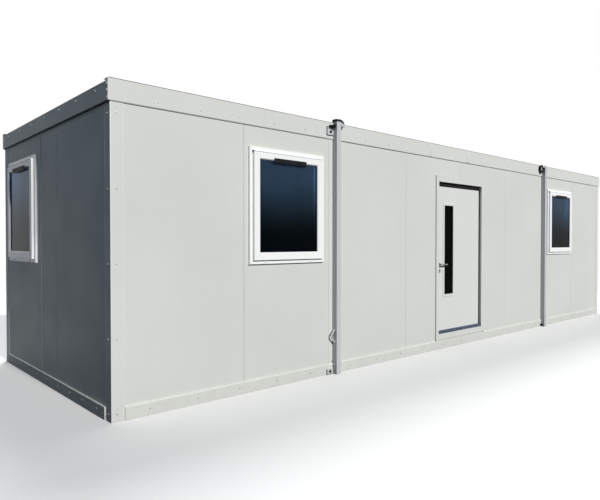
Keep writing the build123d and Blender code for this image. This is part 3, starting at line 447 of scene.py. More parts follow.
vinyl, vinyl_shader = new_material("speckled_vinyl")
vinyl_at = node(vinyl, "ShaderNodeTexCoord")
chips = node(vinyl, "ShaderNodeTexVoronoi", in_Scale=190.0)
wire(vinyl, (vinyl_at, "Object", chips, "Vector"))
chip_tone = node(vinyl, "ShaderNodeRGBToBW")
wire(vinyl, (chips, "Color", chip_tone, 0))
light_chips = span(vinyl, chip_tone, 0, 0.62, 0.74)
dark_chips = span(vinyl, chip_tone, 0, 0.34, 0.24)
vinyl_base = blend_colour(vinyl, (light_chips, 0), VINYL, PALE_CHIP)
vinyl_base = blend_colour(vinyl, (dark_chips, 0), vinyl_base, DARK_CHIP)
wire(vinyl, (vinyl_base[0], vinyl_base[1], vinyl_shader, "Base Color"))
vinyl_film = span(vinyl, cloud(vinyl, vinyl_at, 5.0, 4), 0, 0.3, 0.7, 0.34, 0.52)
wire(vinyl, (vinyl_film, 0, vinyl_shader, "Roughness"))
coat(vinyl, "core_floor", "left_wing_floor", "right_wing_floor")

# ---- Wall panels ----
# Steel-faced insulated panels, tongued together edge to edge and held between the base frame and
# the fascias; both faces are coil coated.
GREY_WHITE = (0.652, 0.668, 0.640)
WALL_NODES = [name for name in nodes if name.endswith("_wall") or name.startswith("core_front_wall")]

wall_paint = painted_steel("wall_panel_coating", GREY_WHITE, rough=0.44, buckle=0.004, shade=0.03)
coat(wall_paint, *WALL_NODES)

# dark grey strip at the bottom of each joint groove between panels: painted shade in the groove
WALL_FACE, WALL_END_FACE = outermost("core_back_wall", "y"), outermost("left_end_wall", "x")
LONG_JOINTS, END_JOINTS = (-3.455, -1.15, 0.0, 1.15, 3.455), (-0.254, 0.178)
GROOVE_FLOOR, JOINT_STRIP_TOP, JOINT_STRIP_HALF, JOINT_STRIP_BEVEL = 0.0034, 0.0018, 0.0022, 0.0003
FASCIA_FOOT = innermost("core_back_fascia", "z")
PANEL_LOW, PANEL_HIGH = RAIL_TOP + 0.002, FASCIA_FOOT - 0.001
OVER_DOOR = outermost("door_frame", "z") + 0.002
dark_shade_grey = painted_steel("painted_dark_shade_grey", (0.20, 0.205, 0.20), rough=0.6, shade=0.1, splash=0.0,
                           streaks=0.0)
joint_shade_strips = []
for y_side in (-1, 1):
    near, far = band(y_side, WALL_FACE - GROOVE_FLOOR, WALL_FACE - JOINT_STRIP_TOP)
    for x in LONG_JOINTS:
        foot = OVER_DOOR if x == 0 and y_side < 0 else PANEL_LOW
        joint_shade_strips.append(slab((x - JOINT_STRIP_HALF, near, foot), (x + JOINT_STRIP_HALF, far, PANEL_HIGH), JOINT_STRIP_BEVEL))
for x_side in (-1, 1):
    near, far = band(x_side, WALL_END_FACE - GROOVE_FLOOR, WALL_END_FACE - JOINT_STRIP_TOP)
    for y in END_JOINTS:
        joint_shade_strips.append(slab((near, y - JOINT_STRIP_HALF, PANEL_LOW), (far, y + JOINT_STRIP_HALF, PANEL_HIGH),
                                JOINT_STRIP_BEVEL))
finish_joined(joint_shade_strips, "panel_joint_shade_strips", dark_shade_grey)

# standing seam of the end wall's last joint, beside the window
SEAM_FROM_JOINT, SEAM_WIDE, SEAM_PROUD = 0.0028, 0.0030, 0.0013
seams = []
for x_side in (-1, 1):
    near, far = band(x_side, WALL_END_FACE, WALL_END_FACE + SEAM_PROUD)
    start = END_JOINTS[1] + SEAM_FROM_JOINT
    seams.append(slab((near, start, PANEL_LOW), (far, start + SEAM_WIDE, PANEL_HIGH), bevel=0.0009))
finish_joined(seams, "end_wall_seams", wall_paint)

# ---- Roof ----
# Trapezoidal-ribbed sheets laid along each part, with a cover strip over each fold; galvanised and
# lacquered, dull with weather, and held down by screws through the ribs.
ROOF_GREY = (0.36, 0.375, 0.38)

roof_paint = painted_steel("roof_sheet_coating", ROOF_GREY, rough=0.5, shade=0.10, splash=0.0, streaks=0.0,
                           buckle=0.003)
coat(roof_paint, "core_roof", "left_wing_roof", "right_wing_roof", "left_fold_cover", "right_fold_cover")

# screws with rubber washers along the crown of each rib and down the edges of the fold covers
RIB_AT, RIB_SCREW_STEP = 0.473, 0.4
RIB_SCREW_RUNS = ("left_wing_roof", -4.48, 6), ("core_roof", -2.2, 12), ("right_wing_roof", 2.48, 6)
COVERS = ("left_fold_cover", -2.33), ("right_fold_cover", 2.33)
COVER_SCREW_OFF, COVER_SCREW_FIRST, COVER_SCREW_STEP = 0.052, -1.26, 0.42
ABOVE_ROOF = 3.0
UP = (0, 0, 1)


def on_top(name, x, y):
    """The highest point of a piece above a spot of the ground plan."""
    return nodes[name].ray_cast(Vector((x, y, ABOVE_ROOF)), Vector((0, 0, -1)))[1]


roof_screws = []
for name, first, count in RIB_SCREW_RUNS:
    for n in range(count):
        for y in (-RIB_AT, RIB_AT):
            spot = on_top(name, first + RIB_SCREW_STEP * n, y)
            roof_screws.append(copied(screw, "roof_screw", spot, UP))
for name, middle in COVERS:
    for x in (middle - COVER_SCREW_OFF, middle + COVER_SCREW_OFF):
        for n in range(7):
            spot = on_top(name, x, COVER_SCREW_FIRST + COVER_SCREW_STEP * n)
            roof_screws.append(copied(screw, "roof_screw", spot, UP))
finish_joined(roof_screws, "roof_screws", screw_paint)

# ---- Inside trims ----
# White plastic skirtings and ceiling coves, clipped over the joints of walls, floor and ceiling;
# the front skirting stops either side of the doorway, clear of the open leaf.
INNER_Y, INNER_X = innermost("core_back_wall", "y"), innermost("left_end_wall", "x")
DECK, CEILING = outermost("core_floor", "z") + 0.0005, innermost("core_roof", "z") - 0.0005
SKIRTING_TOP, SKIRTING_THICK, SKIRTING_BEVEL = DECK + 0.060, 0.010, 0.003
COVE, COVE_BEVEL = 0.028, 0.009
TRIM_GAP = 0.0002
FRONT_RUNS = ((-INNER_X, -0.585), (0.660, INNER_X))
trims = []
for y_side in (-1, 1):
    near, far = band(y_side, INNER_Y - TRIM_GAP, INNER_Y - SKIRTING_THICK)
    for start, end in FRONT_RUNS if y_side < 0 else ((-INNER_X, INNER_X),):
        trims.append(slab((start, near, DECK), (end, far, SKIRTING_TOP), SKIRTING_BEVEL))
    near, far = band(y_side, INNER_Y - TRIM_GAP, INNER_Y - COVE)
    trims.append(slab((-INNER_X, near, CEILING - COVE), (INNER_X, far, CEILING), COVE_BEVEL, segments=3))
for x_side in (-1, 1):
    near, far = band(x_side, INNER_X - TRIM_GAP, INNER_X - SKIRTING_THICK)
    trims.append(slab((near, -INNER_Y, DECK), (far, INNER_Y, SKIRTING_TOP), SKIRTING_BEVEL))
    near, far = band(x_side, INNER_X - TRIM_GAP, INNER_X - COVE)
    trims.append(slab((near, -INNER_Y, CEILING - COVE), (far, INNER_Y, CEILING), COVE_BEVEL, segments=3))
inside_plastic = painted_steel("inside_trim_plastic", (0.74, 0.74, 0.72), rough=0.35, shade=0.02, splash=0.0,
                               streaks=0.0)
finish_joined(trims, "inside_trims", inside_plastic)

# ---- Fascias and corner trims ----
# Folded sheet in the wall colour: fascias with a lip over the roof, screwed to the panels near their
# lower edge, and an angle down each corner with a rolled nose, screwed through both legs.
TRIM_NODES = [name for name in nodes if name.endswith("_fascia") or name.endswith("_corner_trim")]

trim_paint = painted_steel("folded_trim_coating", (0.668, 0.682, 0.655), rough=0.40, shade=0.02, streaks=0.12,
                           buckle=0.002)
coat(trim_paint, *TRIM_NODES)

FASCIA_FACE, FASCIA_HEAD = outermost("core_back_fascia", "y"), outermost("core_back_fascia", "z")
FASCIA_END_FACE = outermost("left_wing_fascia", "x")
FASCIA_SCREW_HIGH, FASCIA_END_SCREW_HIGH = 2.403, 2.467
FASCIA_SCREW_RUNS = (-4.280, 0.385, 5), (-1.866, 0.385, 2), (0.577, 0.62, 3), (2.744, 0.51, 4)
FASCIA_END_SCREW_FIRST, FASCIA_END_SCREW_STEP = -1.2, 0.4
LAP_SCREW = (0.143, 2.371)
FASCIA_CORNER_SCREW_Y, FASCIA_CORNER_SCREW_LOW, FASCIA_CORNER_SCREW_STEP = 1.418, 2.383, 0.05
fascia_screws = []
for out in (FRONT, BACK):
    face = out[1] * FASCIA_FACE
    for start, step, count in FASCIA_SCREW_RUNS:
        fascia_screws.append(row(screw, (start, face, FASCIA_SCREW_HIGH), (step, 0, 0), count, out))
    fascia_screws.append(copied(screw, "lap_screw", (LAP_SCREW[0], face, LAP_SCREW[1]), out))
for out in (LEFT, RIGHT):
    face = out[0] * FASCIA_END_FACE
    first = (face, FASCIA_END_SCREW_FIRST, FASCIA_END_SCREW_HIGH)
    fascia_screws.append(row(screw, first, (0, FASCIA_END_SCREW_STEP, 0), 7, out))
    for y in (-FASCIA_CORNER_SCREW_Y, FASCIA_CORNER_SCREW_Y):
        first = (face, y, FASCIA_CORNER_SCREW_LOW)
        fascia_screws.append(row(screw, first, (0, 0, FASCIA_CORNER_SCREW_STEP), 3, out))
finish_joined(fascia_screws, "fascia_screws", screw_paint)

# lapped butts between the sheets of the long fascias
LAP_THICK, LAP_WIDE = 0.0012, 0.045
LAP_LOW, LAP_HIGH = FASCIA_FOOT + 0.0015, FASCIA_HEAD - 0.0005
BUTTS = -0.700, 0.137
laps = []
for y_side in (-1, 1):
    near, far = band(y_side, FASCIA_FACE, FASCIA_FACE + LAP_THICK)
    for butt in BUTTS:
        laps.append(slab((butt, near, LAP_LOW), (butt + LAP_WIDE, far, LAP_HIGH), bevel=0.0004))
finish_joined(laps, "fascia_laps", trim_paint)

# black strip along the fascias' top edge, a painted shadow line; the end fascias are lower than the long ones
black_shade_paint = painted_steel("painted_black_shade", (0.045, 0.047, 0.052), rough=0.6, shade=0.1, splash=0.0,
                           streaks=0.05)
TOP_LINE_IN, TOP_LINE_WIDE, TOP_LINE_BEVEL = 0.0015, 0.008, 0.0015
TOP_LINE_LOW, TOP_LINE_HIGH = FASCIA_HEAD - 0.0008, FASCIA_HEAD + 0.0052
TOP_LINE_END, TOP_LINE_CORE_END = FASCIA_END_FACE - 0.007, 2.2385
TOP_LINE_END_HALF, END_DROP = FASCIA_FACE - 0.011, 0.020
top_shade_lines = []
for y_side in (-1, 1):
    near, far = band(y_side, FASCIA_FACE - TOP_LINE_IN, FASCIA_FACE - TOP_LINE_IN - TOP_LINE_WIDE)
    for start, end in long_runs(TOP_LINE_END, TOP_LINE_CORE_END):
        top_shade_lines.append(slab((start, near, TOP_LINE_LOW), (end, far, TOP_LINE_HIGH), TOP_LINE_BEVEL))
for x_side in (-1, 1):
    near, far = band(x_side, FASCIA_END_FACE - TOP_LINE_IN, FASCIA_END_FACE - TOP_LINE_IN - TOP_LINE_WIDE)
    top_shade_lines.append(slab((near, -TOP_LINE_END_HALF, TOP_LINE_LOW - END_DROP),
                          (far, TOP_LINE_END_HALF, TOP_LINE_HIGH - END_DROP), TOP_LINE_BEVEL))
finish_joined(top_shade_lines, "fascia_top_shade_lines", black_shade_paint)

# strips under the fascias' lower edge, against the wall, that paint the shadow line there: grey under the
# long ones, black and deeper under the end ones
SHADE_STRIP_IN, SHADE_STRIP_OVERLAP, SHADE_STRIP_BEVEL = 0.004, 0.0005, 0.001
SHADE_STRIP_HIGH, SHADE_STRIP_LOW, END_SHADE_STRIP_LOW = FASCIA_FOOT + 0.0005, FASCIA_FOOT - 0.0045, FASCIA_FOOT - 0.0085
SHADE_STRIP_END, SHADE_STRIP_END_HALF = WALL_END_FACE - 0.002, WALL_FACE - 0.002
grey_shade_paint = painted_steel("painted_grey_shade", (0.60, 0.61, 0.60), rough=0.7, shade=0.08, splash=0.0, streaks=0.05)
long_shade_strips, end_shade_strips = [], []
for y_side in (-1, 1):
    near, far = band(y_side, WALL_FACE - SHADE_STRIP_OVERLAP, FASCIA_FACE - SHADE_STRIP_IN)
    for start, end in long_runs(SHADE_STRIP_END):
        long_shade_strips.append(slab((start, near, SHADE_STRIP_LOW), (end, far, SHADE_STRIP_HIGH), SHADE_STRIP_BEVEL))
finish_joined(long_shade_strips, "fascia_grey_shade_strips", grey_shade_paint)
for x_side in (-1, 1):
    near, far = band(x_side, WALL_END_FACE - SHADE_STRIP_OVERLAP, FASCIA_END_FACE - SHADE_STRIP_IN)
    end_shade_strips.append(slab((near, -SHADE_STRIP_END_HALF, END_SHADE_STRIP_LOW), (far, SHADE_STRIP_END_HALF, SHADE_STRIP_HIGH), SHADE_STRIP_BEVEL))
finish_joined(end_shade_strips, "fascia_black_shade_strips", black_shade_paint)

CORNER_X = outermost("front_left_corner_trim", "x")
CORNER_Y = outermost("front_left_corner_trim", "y")
CORNER_SCREW_IN, CORNER_SCREW_LOW, CORNER_SCREW_STEP = 0.045, 0.057, 0.5545
corner_screws = []
for x_side in (-1, 1):
    for y_side in (-1, 1):
        for out, x, y in (((0, y_side, 0), CORNER_X - CORNER_SCREW_IN, CORNER_Y),
                          ((x_side, 0, 0), CORNER_X, CORNER_Y - CORNER_SCREW_IN)):
            first = (x_side * x, y_side * y, CORNER_SCREW_LOW)
            corner_screws.append(row(screw, first, (0, 0, CORNER_SCREW_STEP), 5, out))
finish_joined(corner_screws, "corner_trim_screws", screw_paint)

# rolled hems down the nose and the free edges of each corner trim, in the lighter paint as a painted
# highlight
NOSE_RADIUS, NOSE_IN, NOSE_LOW = 0.0045, 0.0035, 0.002
HEM_RADIUS, HEM_IN, HEM_LOW, HEM_HIGH = 0.0014, 0.0010, RAIL_TOP + 0.002, FASCIA_FOOT - 0.008
TRIM_EDGE_X, TRIM_EDGE_Y = TRIM_INNER_X + 0.0015, TRIM_INNER_Y + 0.0015
highlight_hems = []
for x_side in (-1, 1):
    for y_side in (-1, 1):
        for x, y, radius, foot in ((CORNER_X - NOSE_IN, CORNER_Y - NOSE_IN, NOSE_RADIUS, NOSE_LOW),
                                   (TRIM_EDGE_X, CORNER_Y - HEM_IN, HEM_RADIUS, HEM_LOW),
                                   (CORNER_X - HEM_IN, TRIM_EDGE_Y, HEM_RADIUS, HEM_LOW)):
            highlight_hems.append(disc(radius, foot, HEM_HIGH, at=(x_side * x, y_side * y), sides=16,
                             bevel=radius * 0.3))
finish_joined(highlight_hems, "corner_trim_highlight_hems", highlight_paint)

# ---- Posts, gussets and lashing eyes ----
# Hollow steel posts bolted on at the folds, with a quarter-round plate welded to each head and a
# bent-bar eye low down on the wing side; shop painted a cooler white than the walls.
POST_NODES = [name for name in nodes if name.endswith("_post")]

POST_WHITE = (0.555, 0.568, 0.592)
BLACK_DIP = (0.020, 0.021, 0.024)
DIP_FROM, RIM_FROM = 2.531, FASCIA_HEAD - 0.004
GUSSET_FACE, LEFT_BORE = outermost("head_gussets", "y"), (-2.270, 2.510)
GUSSET_PALE_CENTRE, GUSSET_PALE_RADIUS = (-2.318, 0, 2.455), 0.078


def overpainted(mat, mask, colour):
    """Lays a second paint over the first where mask, a (node, output) pair, is 1."""
    shader = mat.node_tree.nodes["Principled BSDF"]
    under = shader.inputs["Base Color"].links[0].from_node
    over = blend_colour(mat, mask, (under, 2), colour)
    wire(mat, (over[0], over[1], shader, "Base Color"))


def post_coating(name):
    """The posts' white paint, as a material of its own that can be overpainted."""
    return painted_steel(name, POST_WHITE, rough=0.42, shade=0.02, streaks=0.05)


post_paint = post_coating("post_paint")
coat(post_paint, "lashing_eyes", *POST_NODES)

# the taller left heads are dipped in black
dipped_paint = post_coating("post_dipped_paint")
dipped_at = node(dipped_paint, "ShaderNodeTexCoord")
dipped_parts = node(dipped_paint, "ShaderNodeSeparateXYZ")
wire(dipped_paint, (dipped_at, "Object", dipped_parts, 0))
dip = span(dipped_paint, dipped_parts, "Z", DIP_FROM - 0.001, DIP_FROM + 0.001)
overpainted(dipped_paint, (dip, 0), BLACK_DIP)
coat(dipped_paint, "front_left_post", "back_left_post")

# the rims of their gussets are black too, outside a round pale field
gusset_paint = post_coating("gusset_paint")
gusset_at = node(gusset_paint, "ShaderNodeTexCoord")
gusset_parts = node(gusset_paint, "ShaderNodeSeparateXYZ")
from_centre = node(gusset_paint, "ShaderNodeVectorMath", operation="SUBTRACT")
from_centre.inputs[1].default_value = GUSSET_PALE_CENTRE
in_plate = node(gusset_paint, "ShaderNodeVectorMath", operation="MULTIPLY")
in_plate.inputs[1].default_value = (1, 0, 1)
distance = node(gusset_paint, "ShaderNodeVectorMath", operation="LENGTH")
wire(gusset_paint, (gusset_at, "Object", gusset_parts, 0), (gusset_at, "Object", from_centre, 0),
     (from_centre, 0, in_plate, 0), (in_plate, 0, distance, 0))
rim = span(gusset_paint, distance, "Value", GUSSET_PALE_RADIUS - 0.0005, GUSSET_PALE_RADIUS + 0.0005)
left_half = span(gusset_paint, gusset_parts, "X", -0.1, 0.1, 1.0, 0.0)
above_fascia = span(gusset_paint, gusset_parts, "Z", RIM_FROM - 0.0005, RIM_FROM + 0.0015)
dipped_rim = times(gusset_paint, times(gusset_paint, rim, left_half), above_fascia)
overpainted(gusset_paint, (dipped_rim, 0), BLACK_DIP)
coat(gusset_paint, "head_gussets")

# push-in plugs that keep rain out of the lifting holes behind the left gussets
plug = disc(0.0195, 0.0, 0.0026, sides=40, bevel=0.0011)
faces_mode(plug, lambda face: face.normal.z > 0.9)
bpy.ops.mesh.inset(thickness=0.005)
bpy.ops.mesh.inset(thickness=0.0012, depth=-0.0008)
bpy.ops.object.mode_set(mode="OBJECT")
plugs = [copied(plug, "plug", (LEFT_BORE[0], out[1] * GUSSET_FACE, LEFT_BORE[1]), out)
         for out in (FRONT, BACK)]
bpy.data.objects.remove(plug)
finish_joined(plugs, "gusset_plugs", gusset_paint)

# rounded weld beads where the feet of the lashing eyes meet the post
EYE_Y, EYE_FEET = 1.453, (0.323, 0.443)
bead = disc(0.0115, 0.0, 0.0040, sides=24, bevel=0.0018)
beads = []
for x_side in (-1, 1):
    for y_side in (-1, 1):
        for height in EYE_FEET:
            foot_at = (x_side * POST_WING, y_side * EYE_Y, height)
            beads.append(copied(bead, "bead", foot_at, (x_side, 0, 0)))
bpy.data.objects.remove(bead)
finish_joined(beads, "lashing_eye_welds", post_paint)

# bolts that hold each post to the core's base frame, low on its wing side
POST_BOLT_Y, POST_BOLT_LOW, POST_BOLT_STEP = 1.458, 0.092, 0.048
bolt_washer = disc(0.011, 0.0, 0.002, sides=24, bevel=0.0005)
bolt_head = disc(0.0085, 0.002, 0.0085, sides=6, bevel=0.0008)
post_bolt = joined([bolt_washer, bolt_head], "post_bolt")
post_bolts = []
for x_side in (-1, 1):
    for y_side in (-1, 1):
        first = (x_side * POST_WING, y_side * POST_BOLT_Y, POST_BOLT_LOW)
        post_bolts.append(row(post_bolt, first, (0, 0, POST_BOLT_STEP), 2, (x_side, 0, 0)))
finish_joined(post_bolts, "post_foot_bolts", screw_paint)

# ---- Lifting lugs ----
# Thick round-nosed plates welded behind the post heads, painted black; the right pair stand clear
# of their posts on a tab and have bushings in their bores.
lug_paint = painted_steel("lug_black_paint", (0.018, 0.018, 0.021), rough=0.36, shade=0.2, splash=0.0,
                          streaks=0.05)
coat(lug_paint, "lifting_lugs")

# the foot of each left lug, behind the fascia's lip, has the post's white
lug_at = node(lug_paint, "ShaderNodeTexCoord")
lug_parts = node(lug_paint, "ShaderNodeSeparateXYZ")
wire(lug_paint, (lug_at, "Object", lug_parts, 0))
lug_foot = span(lug_paint, lug_parts, "Z", RIM_FROM - 0.001, RIM_FROM + 0.001, 1.0, 0.0)
lug_left = span(lug_paint, lug_parts, "X", -0.1, 0.1, 1.0, 0.0)
overpainted(lug_paint, (times(lug_paint, lug_foot, lug_left), 0), POST_WHITE)

# turned bushings in the bores of the right lugs
LUG_FACE, RIGHT_BORE = outermost("lifting_lugs", "y"), (2.238, 2.466)
bushing_paint = painted_steel("bushing_zinc", (0.66, 0.66, 0.65), rough=0.3, metallic=0.3, shade=0.1,
                              splash=0.0, streaks=0.0)
bushing = disc(0.0235, 0.0, 0.0024, sides=40, bevel=0.0008)
faces_mode(bushing, lambda face: abs(face.normal.z) > 0.9)
bpy.ops.mesh.inset(thickness=0.0068)
bpy.ops.mesh.bridge_edge_loops()
bpy.ops.object.mode_set(mode="OBJECT")
bushings = [copied(bushing, "bushing", (RIGHT_BORE[0], out[1] * LUG_FACE, RIGHT_BORE[1]), out)
            for out in (FRONT, BACK)]
bpy.data.objects.remove(bushing)
finish_joined(bushings, "lug_bushings", bushing_paint)

# ---- Wing hinge brackets ----
# Zinc-plated plates bolted to the wing, with a barrel and bolt where it hangs on its post; rubber
# sleeves, buffers and caps keep the water out.
zinc = painted_steel("zinc_plate", (0.60, 0.61, 0.62), rough=0.40, metallic=0.35, shade=0.08, splash=0.1,
                     streaks=0.06)
coat(zinc, "wing_hinge_brackets")

rubber = painted_steel("black_rubber", (0.014, 0.014, 0.015), rough=0.62, shade=0.15, splash=0.0,
                       streaks=0.04, specular=0.03)

# black sleeve over each hinge barrel, a rubber buffer beside it, caps over the bolts, and a black
# edging along the plate's outer and lower edges, painted shade on those edges
PLATE_BACK, PLATE_FACE = RAIL_FACE, RAIL_FACE + 0.008
PLATE_X, PLATE_Z, PLATE_HALF = 2.4033, 2.438, 0.043
FOOT_X, FOOT_Z, FOOT_HALF_WIDE, FOOT_HALF_HIGH = 2.410, 0.031, 0.036, 0.025
BARREL_AT, BUFFER_AT, TOP_BOLT_Z = (2.3780, 2.481), (2.4150, 2.478), 2.42725
FOOT_BUFFER_IN, FOOT_BUFFER_Z = 0.017, 0.030
SHADE_EDGE, SHADE_EDGE_BEVEL = 0.006, 0.0012


def capped_drum(radius, height, rim):
    """Drum with a rounded rim and a shallow ring pressed into its face."""
    piece = disc(radius, 0.0, height, sides=32, bevel=rim)
    faces_mode(piece, lambda face: face.normal.z > 0.9)
    bpy.ops.mesh.inset(thickness=radius * 0.25)
    bpy.ops.mesh.inset(thickness=radius * 0.12, depth=-radius * 0.06)
    bpy.ops.object.mode_set(mode="OBJECT")
    return piece


sleeve = capped_drum(0.0178, 0.0290, 0.002)
buffer = capped_drum(0.0155, 0.0200, 0.003)
bolt_cap = capped_drum(0.0125, 0.0085, 0.0035)
rubbers_and_shade_edges = []
for x_side in (-1, 1):
    for out in (FRONT, BACK):
        plate_y = out[1] * PLATE_FACE
        rubbers_and_shade_edges += [copied(sleeve, "sleeve", (x_side * BARREL_AT[0], plate_y, BARREL_AT[1]), out),
                    copied(buffer, "buffer", (x_side * BUFFER_AT[0], plate_y, BUFFER_AT[1]), out),
                    copied(bolt_cap, "cap", (x_side * PLATE_X, plate_y, TOP_BOLT_Z), out),
                    copied(bolt_cap, "cap", (x_side * FOOT_X, plate_y, FOOT_Z), out)]
        if x_side > 0:
            foot_at = (POST_CORE - FOOT_BUFFER_IN, out[1] * RAIL_FACE, FOOT_BUFFER_Z)
            rubbers_and_shade_edges.append(copied(buffer, "foot", foot_at, out))
        for at_x, at_z, wide, high in ((PLATE_X, PLATE_Z, PLATE_HALF, PLATE_HALF),
                                       (FOOT_X, FOOT_Z, FOOT_HALF_WIDE, FOOT_HALF_HIGH)):
            near, far = band(out[1], PLATE_BACK, PLATE_BACK + SHADE_EDGE)
            edge, rim_at = band(x_side, at_x + wide, at_x + wide + SHADE_EDGE)
            start, end = band(x_side, at_x - wide + 0.001, at_x + wide + SHADE_EDGE)
            foot = max(at_z - high - SHADE_EDGE, 0.0005)
            rubbers_and_shade_edges += [slab((edge, near, foot), (rim_at, far, at_z + high), SHADE_EDGE_BEVEL),
                        slab((start, near, foot), (end, far, at_z - high), SHADE_EDGE_BEVEL)]
for master in (sleeve, buffer, bolt_cap):
    bpy.data.objects.remove(master)
finish_joined(rubbers_and_shade_edges, "hinge_rubbers_and_shade_edges", rubber)

# ---- Windows ----
# White plastic tilt-and-turn windows: a frame that laps the wall and is screwed into the opening, a
# sash proud of it, and dark double glazing with a painted sky reflection; a dark vent sits on the sash head.
PVC_WHITE = (0.905, 0.915, 0.92)


def halfway(name, axis):
    """The middle of a CAD node that lies on one side of the cabin, along an axis."""
    return (outermost(name, axis) + innermost(name, axis)) / 2


WINDOW_X, WINDOW_HIGH = halfway("left_wing_window_frame", "x"), halfway("left_wing_window_frame", "z")
WINDOW_END_Y = halfway("left_end_window_frame", "y")
WINDOW_PLACES = {
    "left_wing": ((-WINDOW_X, -WALL_FACE, WINDOW_HIGH), FRONT),
    "right_wing": ((WINDOW_X, -WALL_FACE, WINDOW_HIGH), FRONT),
    "left_end": ((-WALL_END_FACE, WINDOW_END_Y, WINDOW_HIGH), LEFT),
    "right_end": ((WALL_END_FACE, WINDOW_END_Y, WINDOW_HIGH), RIGHT),
}

pvc = painted_steel("window_plastic", PVC_WHITE, rough=0.26, shade=0.012, peel=0.00004, splash=0.0,
                    streaks=0.05, specular=0.24)
coat(pvc, *[f"{side}_window_{piece}" for side in WINDOW_PLACES for piece in ("frame", "sash")])

# painted reflection: pale sky blue high on each pane in soft blotches, near black towards its foot
PANE_FOOT, PANE_HEAD = 1.36, 2.00
reflection_painted_glass, reflection_painted_glass_shader = new_material("glass_with_painted_sky_reflection")
reflection_painted_glass_shader.inputs["Transmission Weight"].default_value = 0.93
reflection_painted_glass_shader.inputs["IOR"].default_value = 1.095
reflection_painted_glass_shader.inputs["Specular Tint"].default_value = (0.40, 0.60, 0.85, 1)
glass_at = node(reflection_painted_glass, "ShaderNodeTexCoord")
reflection_blotch_noise = cloud(reflection_painted_glass, glass_at, 2.4, 3)
glass_parts = node(reflection_painted_glass, "ShaderNodeSeparateXYZ")
wire(reflection_painted_glass, (glass_at, "Object", glass_parts, 0))
painted_sky_height_mask = span(reflection_painted_glass, glass_parts, "Z", PANE_FOOT, PANE_HEAD, smooth=True)
# colours of the painted reflection: near black low, sky blue high
painted_dark_low_glass = blend_colour(reflection_painted_glass, (reflection_blotch_noise, 0), (0.010, 0.026, 0.030), (0.004, 0.014, 0.017))
painted_sky_blue_glass = blend_colour(reflection_painted_glass, (reflection_blotch_noise, 0), (0.32, 0.54, 0.80), (0.20, 0.36, 0.56))
painted_reflection_tone = blend_colour(reflection_painted_glass, (painted_sky_height_mask, 0), painted_dark_low_glass, painted_sky_blue_glass)
wire(reflection_painted_glass, (painted_reflection_tone[0], painted_reflection_tone[1], reflection_painted_glass_shader, "Base Color"))
glass_rough = span(reflection_painted_glass, reflection_blotch_noise, 0, 0.3, 0.7, 0.01, 0.035)
wire(reflection_painted_glass, (glass_rough, 0, reflection_painted_glass_shader, "Roughness"))
coat(reflection_painted_glass, "window_glass")

seal_grey = painted_steel("grey_seal", (0.42, 0.43, 0.44), rough=0.6, shade=0.05, splash=0.0, streaks=0.04)


def ring(outer, width, low, high, bevel):
    """A flat rectangular ring of that outer size and width of band, between two depths."""
    bpy.ops.object.select_all(action="DESELECT")
    bpy.ops.mesh.primitive_plane_add(size=1, location=(0, 0, low))
    piece = bpy.context.object
    piece.scale = (outer[0], outer[1], 1)
    bpy.ops.object.transform_apply(location=True, rotation=True, scale=True)
    bpy.ops.object.mode_set(mode="EDIT")
    bpy.ops.mesh.select_all(action="SELECT")
    bpy.ops.mesh.inset(thickness=width)
    bpy.ops.mesh.delete(type="FACE")
    bpy.ops.mesh.select_all(action="SELECT")
    bpy.ops.mesh.extrude_region_move(TRANSFORM_OT_translate={"value": (0, 0, high - low)})
    bpy.ops.mesh.select_all(action="SELECT")
    bpy.ops.mesh.normals_make_consistent(inside=False)
    bpy.ops.object.mode_set(mode="OBJECT")
    applied(piece, "BEVEL", width=bevel, segments=2, limit_method="ANGLE",
            angle_limit=math.radians(40))
    return piece


def sliver(start, end, width, low, high):
    """A thin straight strip between two points of a face."""
    run = Vector(end) - Vector(start)
    piece = slab((0, -width / 2, low), (run.length, width / 2, high), bevel=0.0001)
    piece.data.transform(Matrix.Translation((*start, 0)) @ Matrix.Rotation(math.atan2(run.y, run.x), 4, "Z"))
    return piece


# each window's pieces are made about its middle: across, up and outwards from the wall
FRAME_FACE_AT = outermost("left_wing_window_frame", "y") - WALL_FACE
SASH_FACE_AT = outermost("left_wing_window_sash", "y") - WALL_FACE
GLAZED_SIZE, SASH_SEAL_SIZE = (0.7060, 0.8360), (0.8455, 0.9755)
window_gaskets = ring(GLAZED_SIZE, 0.0075, 0.0296, 0.0328, bevel=0.0012)
sash_seal = ring(SASH_SEAL_SIZE, 0.0028, 0.008, 0.0225, bevel=0.0006)
sash_line = slab((-0.4165, 0.4765, 0.0435), (0.4165, 0.4815, 0.0450), bevel=0.0004)
sash_seals = joined([sash_seal, sash_line], "seal_master")

# welded mitres show as a fine raised line at each corner of frame and sash
LINE_WIDE, LINE_SUNK, LINE_PROUD = 0.0012, 0.001, 0.0002
FRAME_MITRE, SASH_MITRE = ((0.424, 0.489), (0.453, 0.518)), ((0.361, 0.426), (0.417, 0.482))
mitre_parts = []
for x_side in (-1, 1):
    for y_side in (-1, 1):
        for (inner, outer), face in ((FRAME_MITRE, FRAME_FACE_AT), (SASH_MITRE, SASH_FACE_AT)):
            start = (x_side * inner[0], y_side * inner[1])
            end = (x_side * outer[0], y_side * outer[1])
            mitre_parts.append(sliver(start, end, LINE_WIDE, face - LINE_SUNK, face + LINE_PROUD))
window_mitres = joined(mitre_parts, "mitre_master")

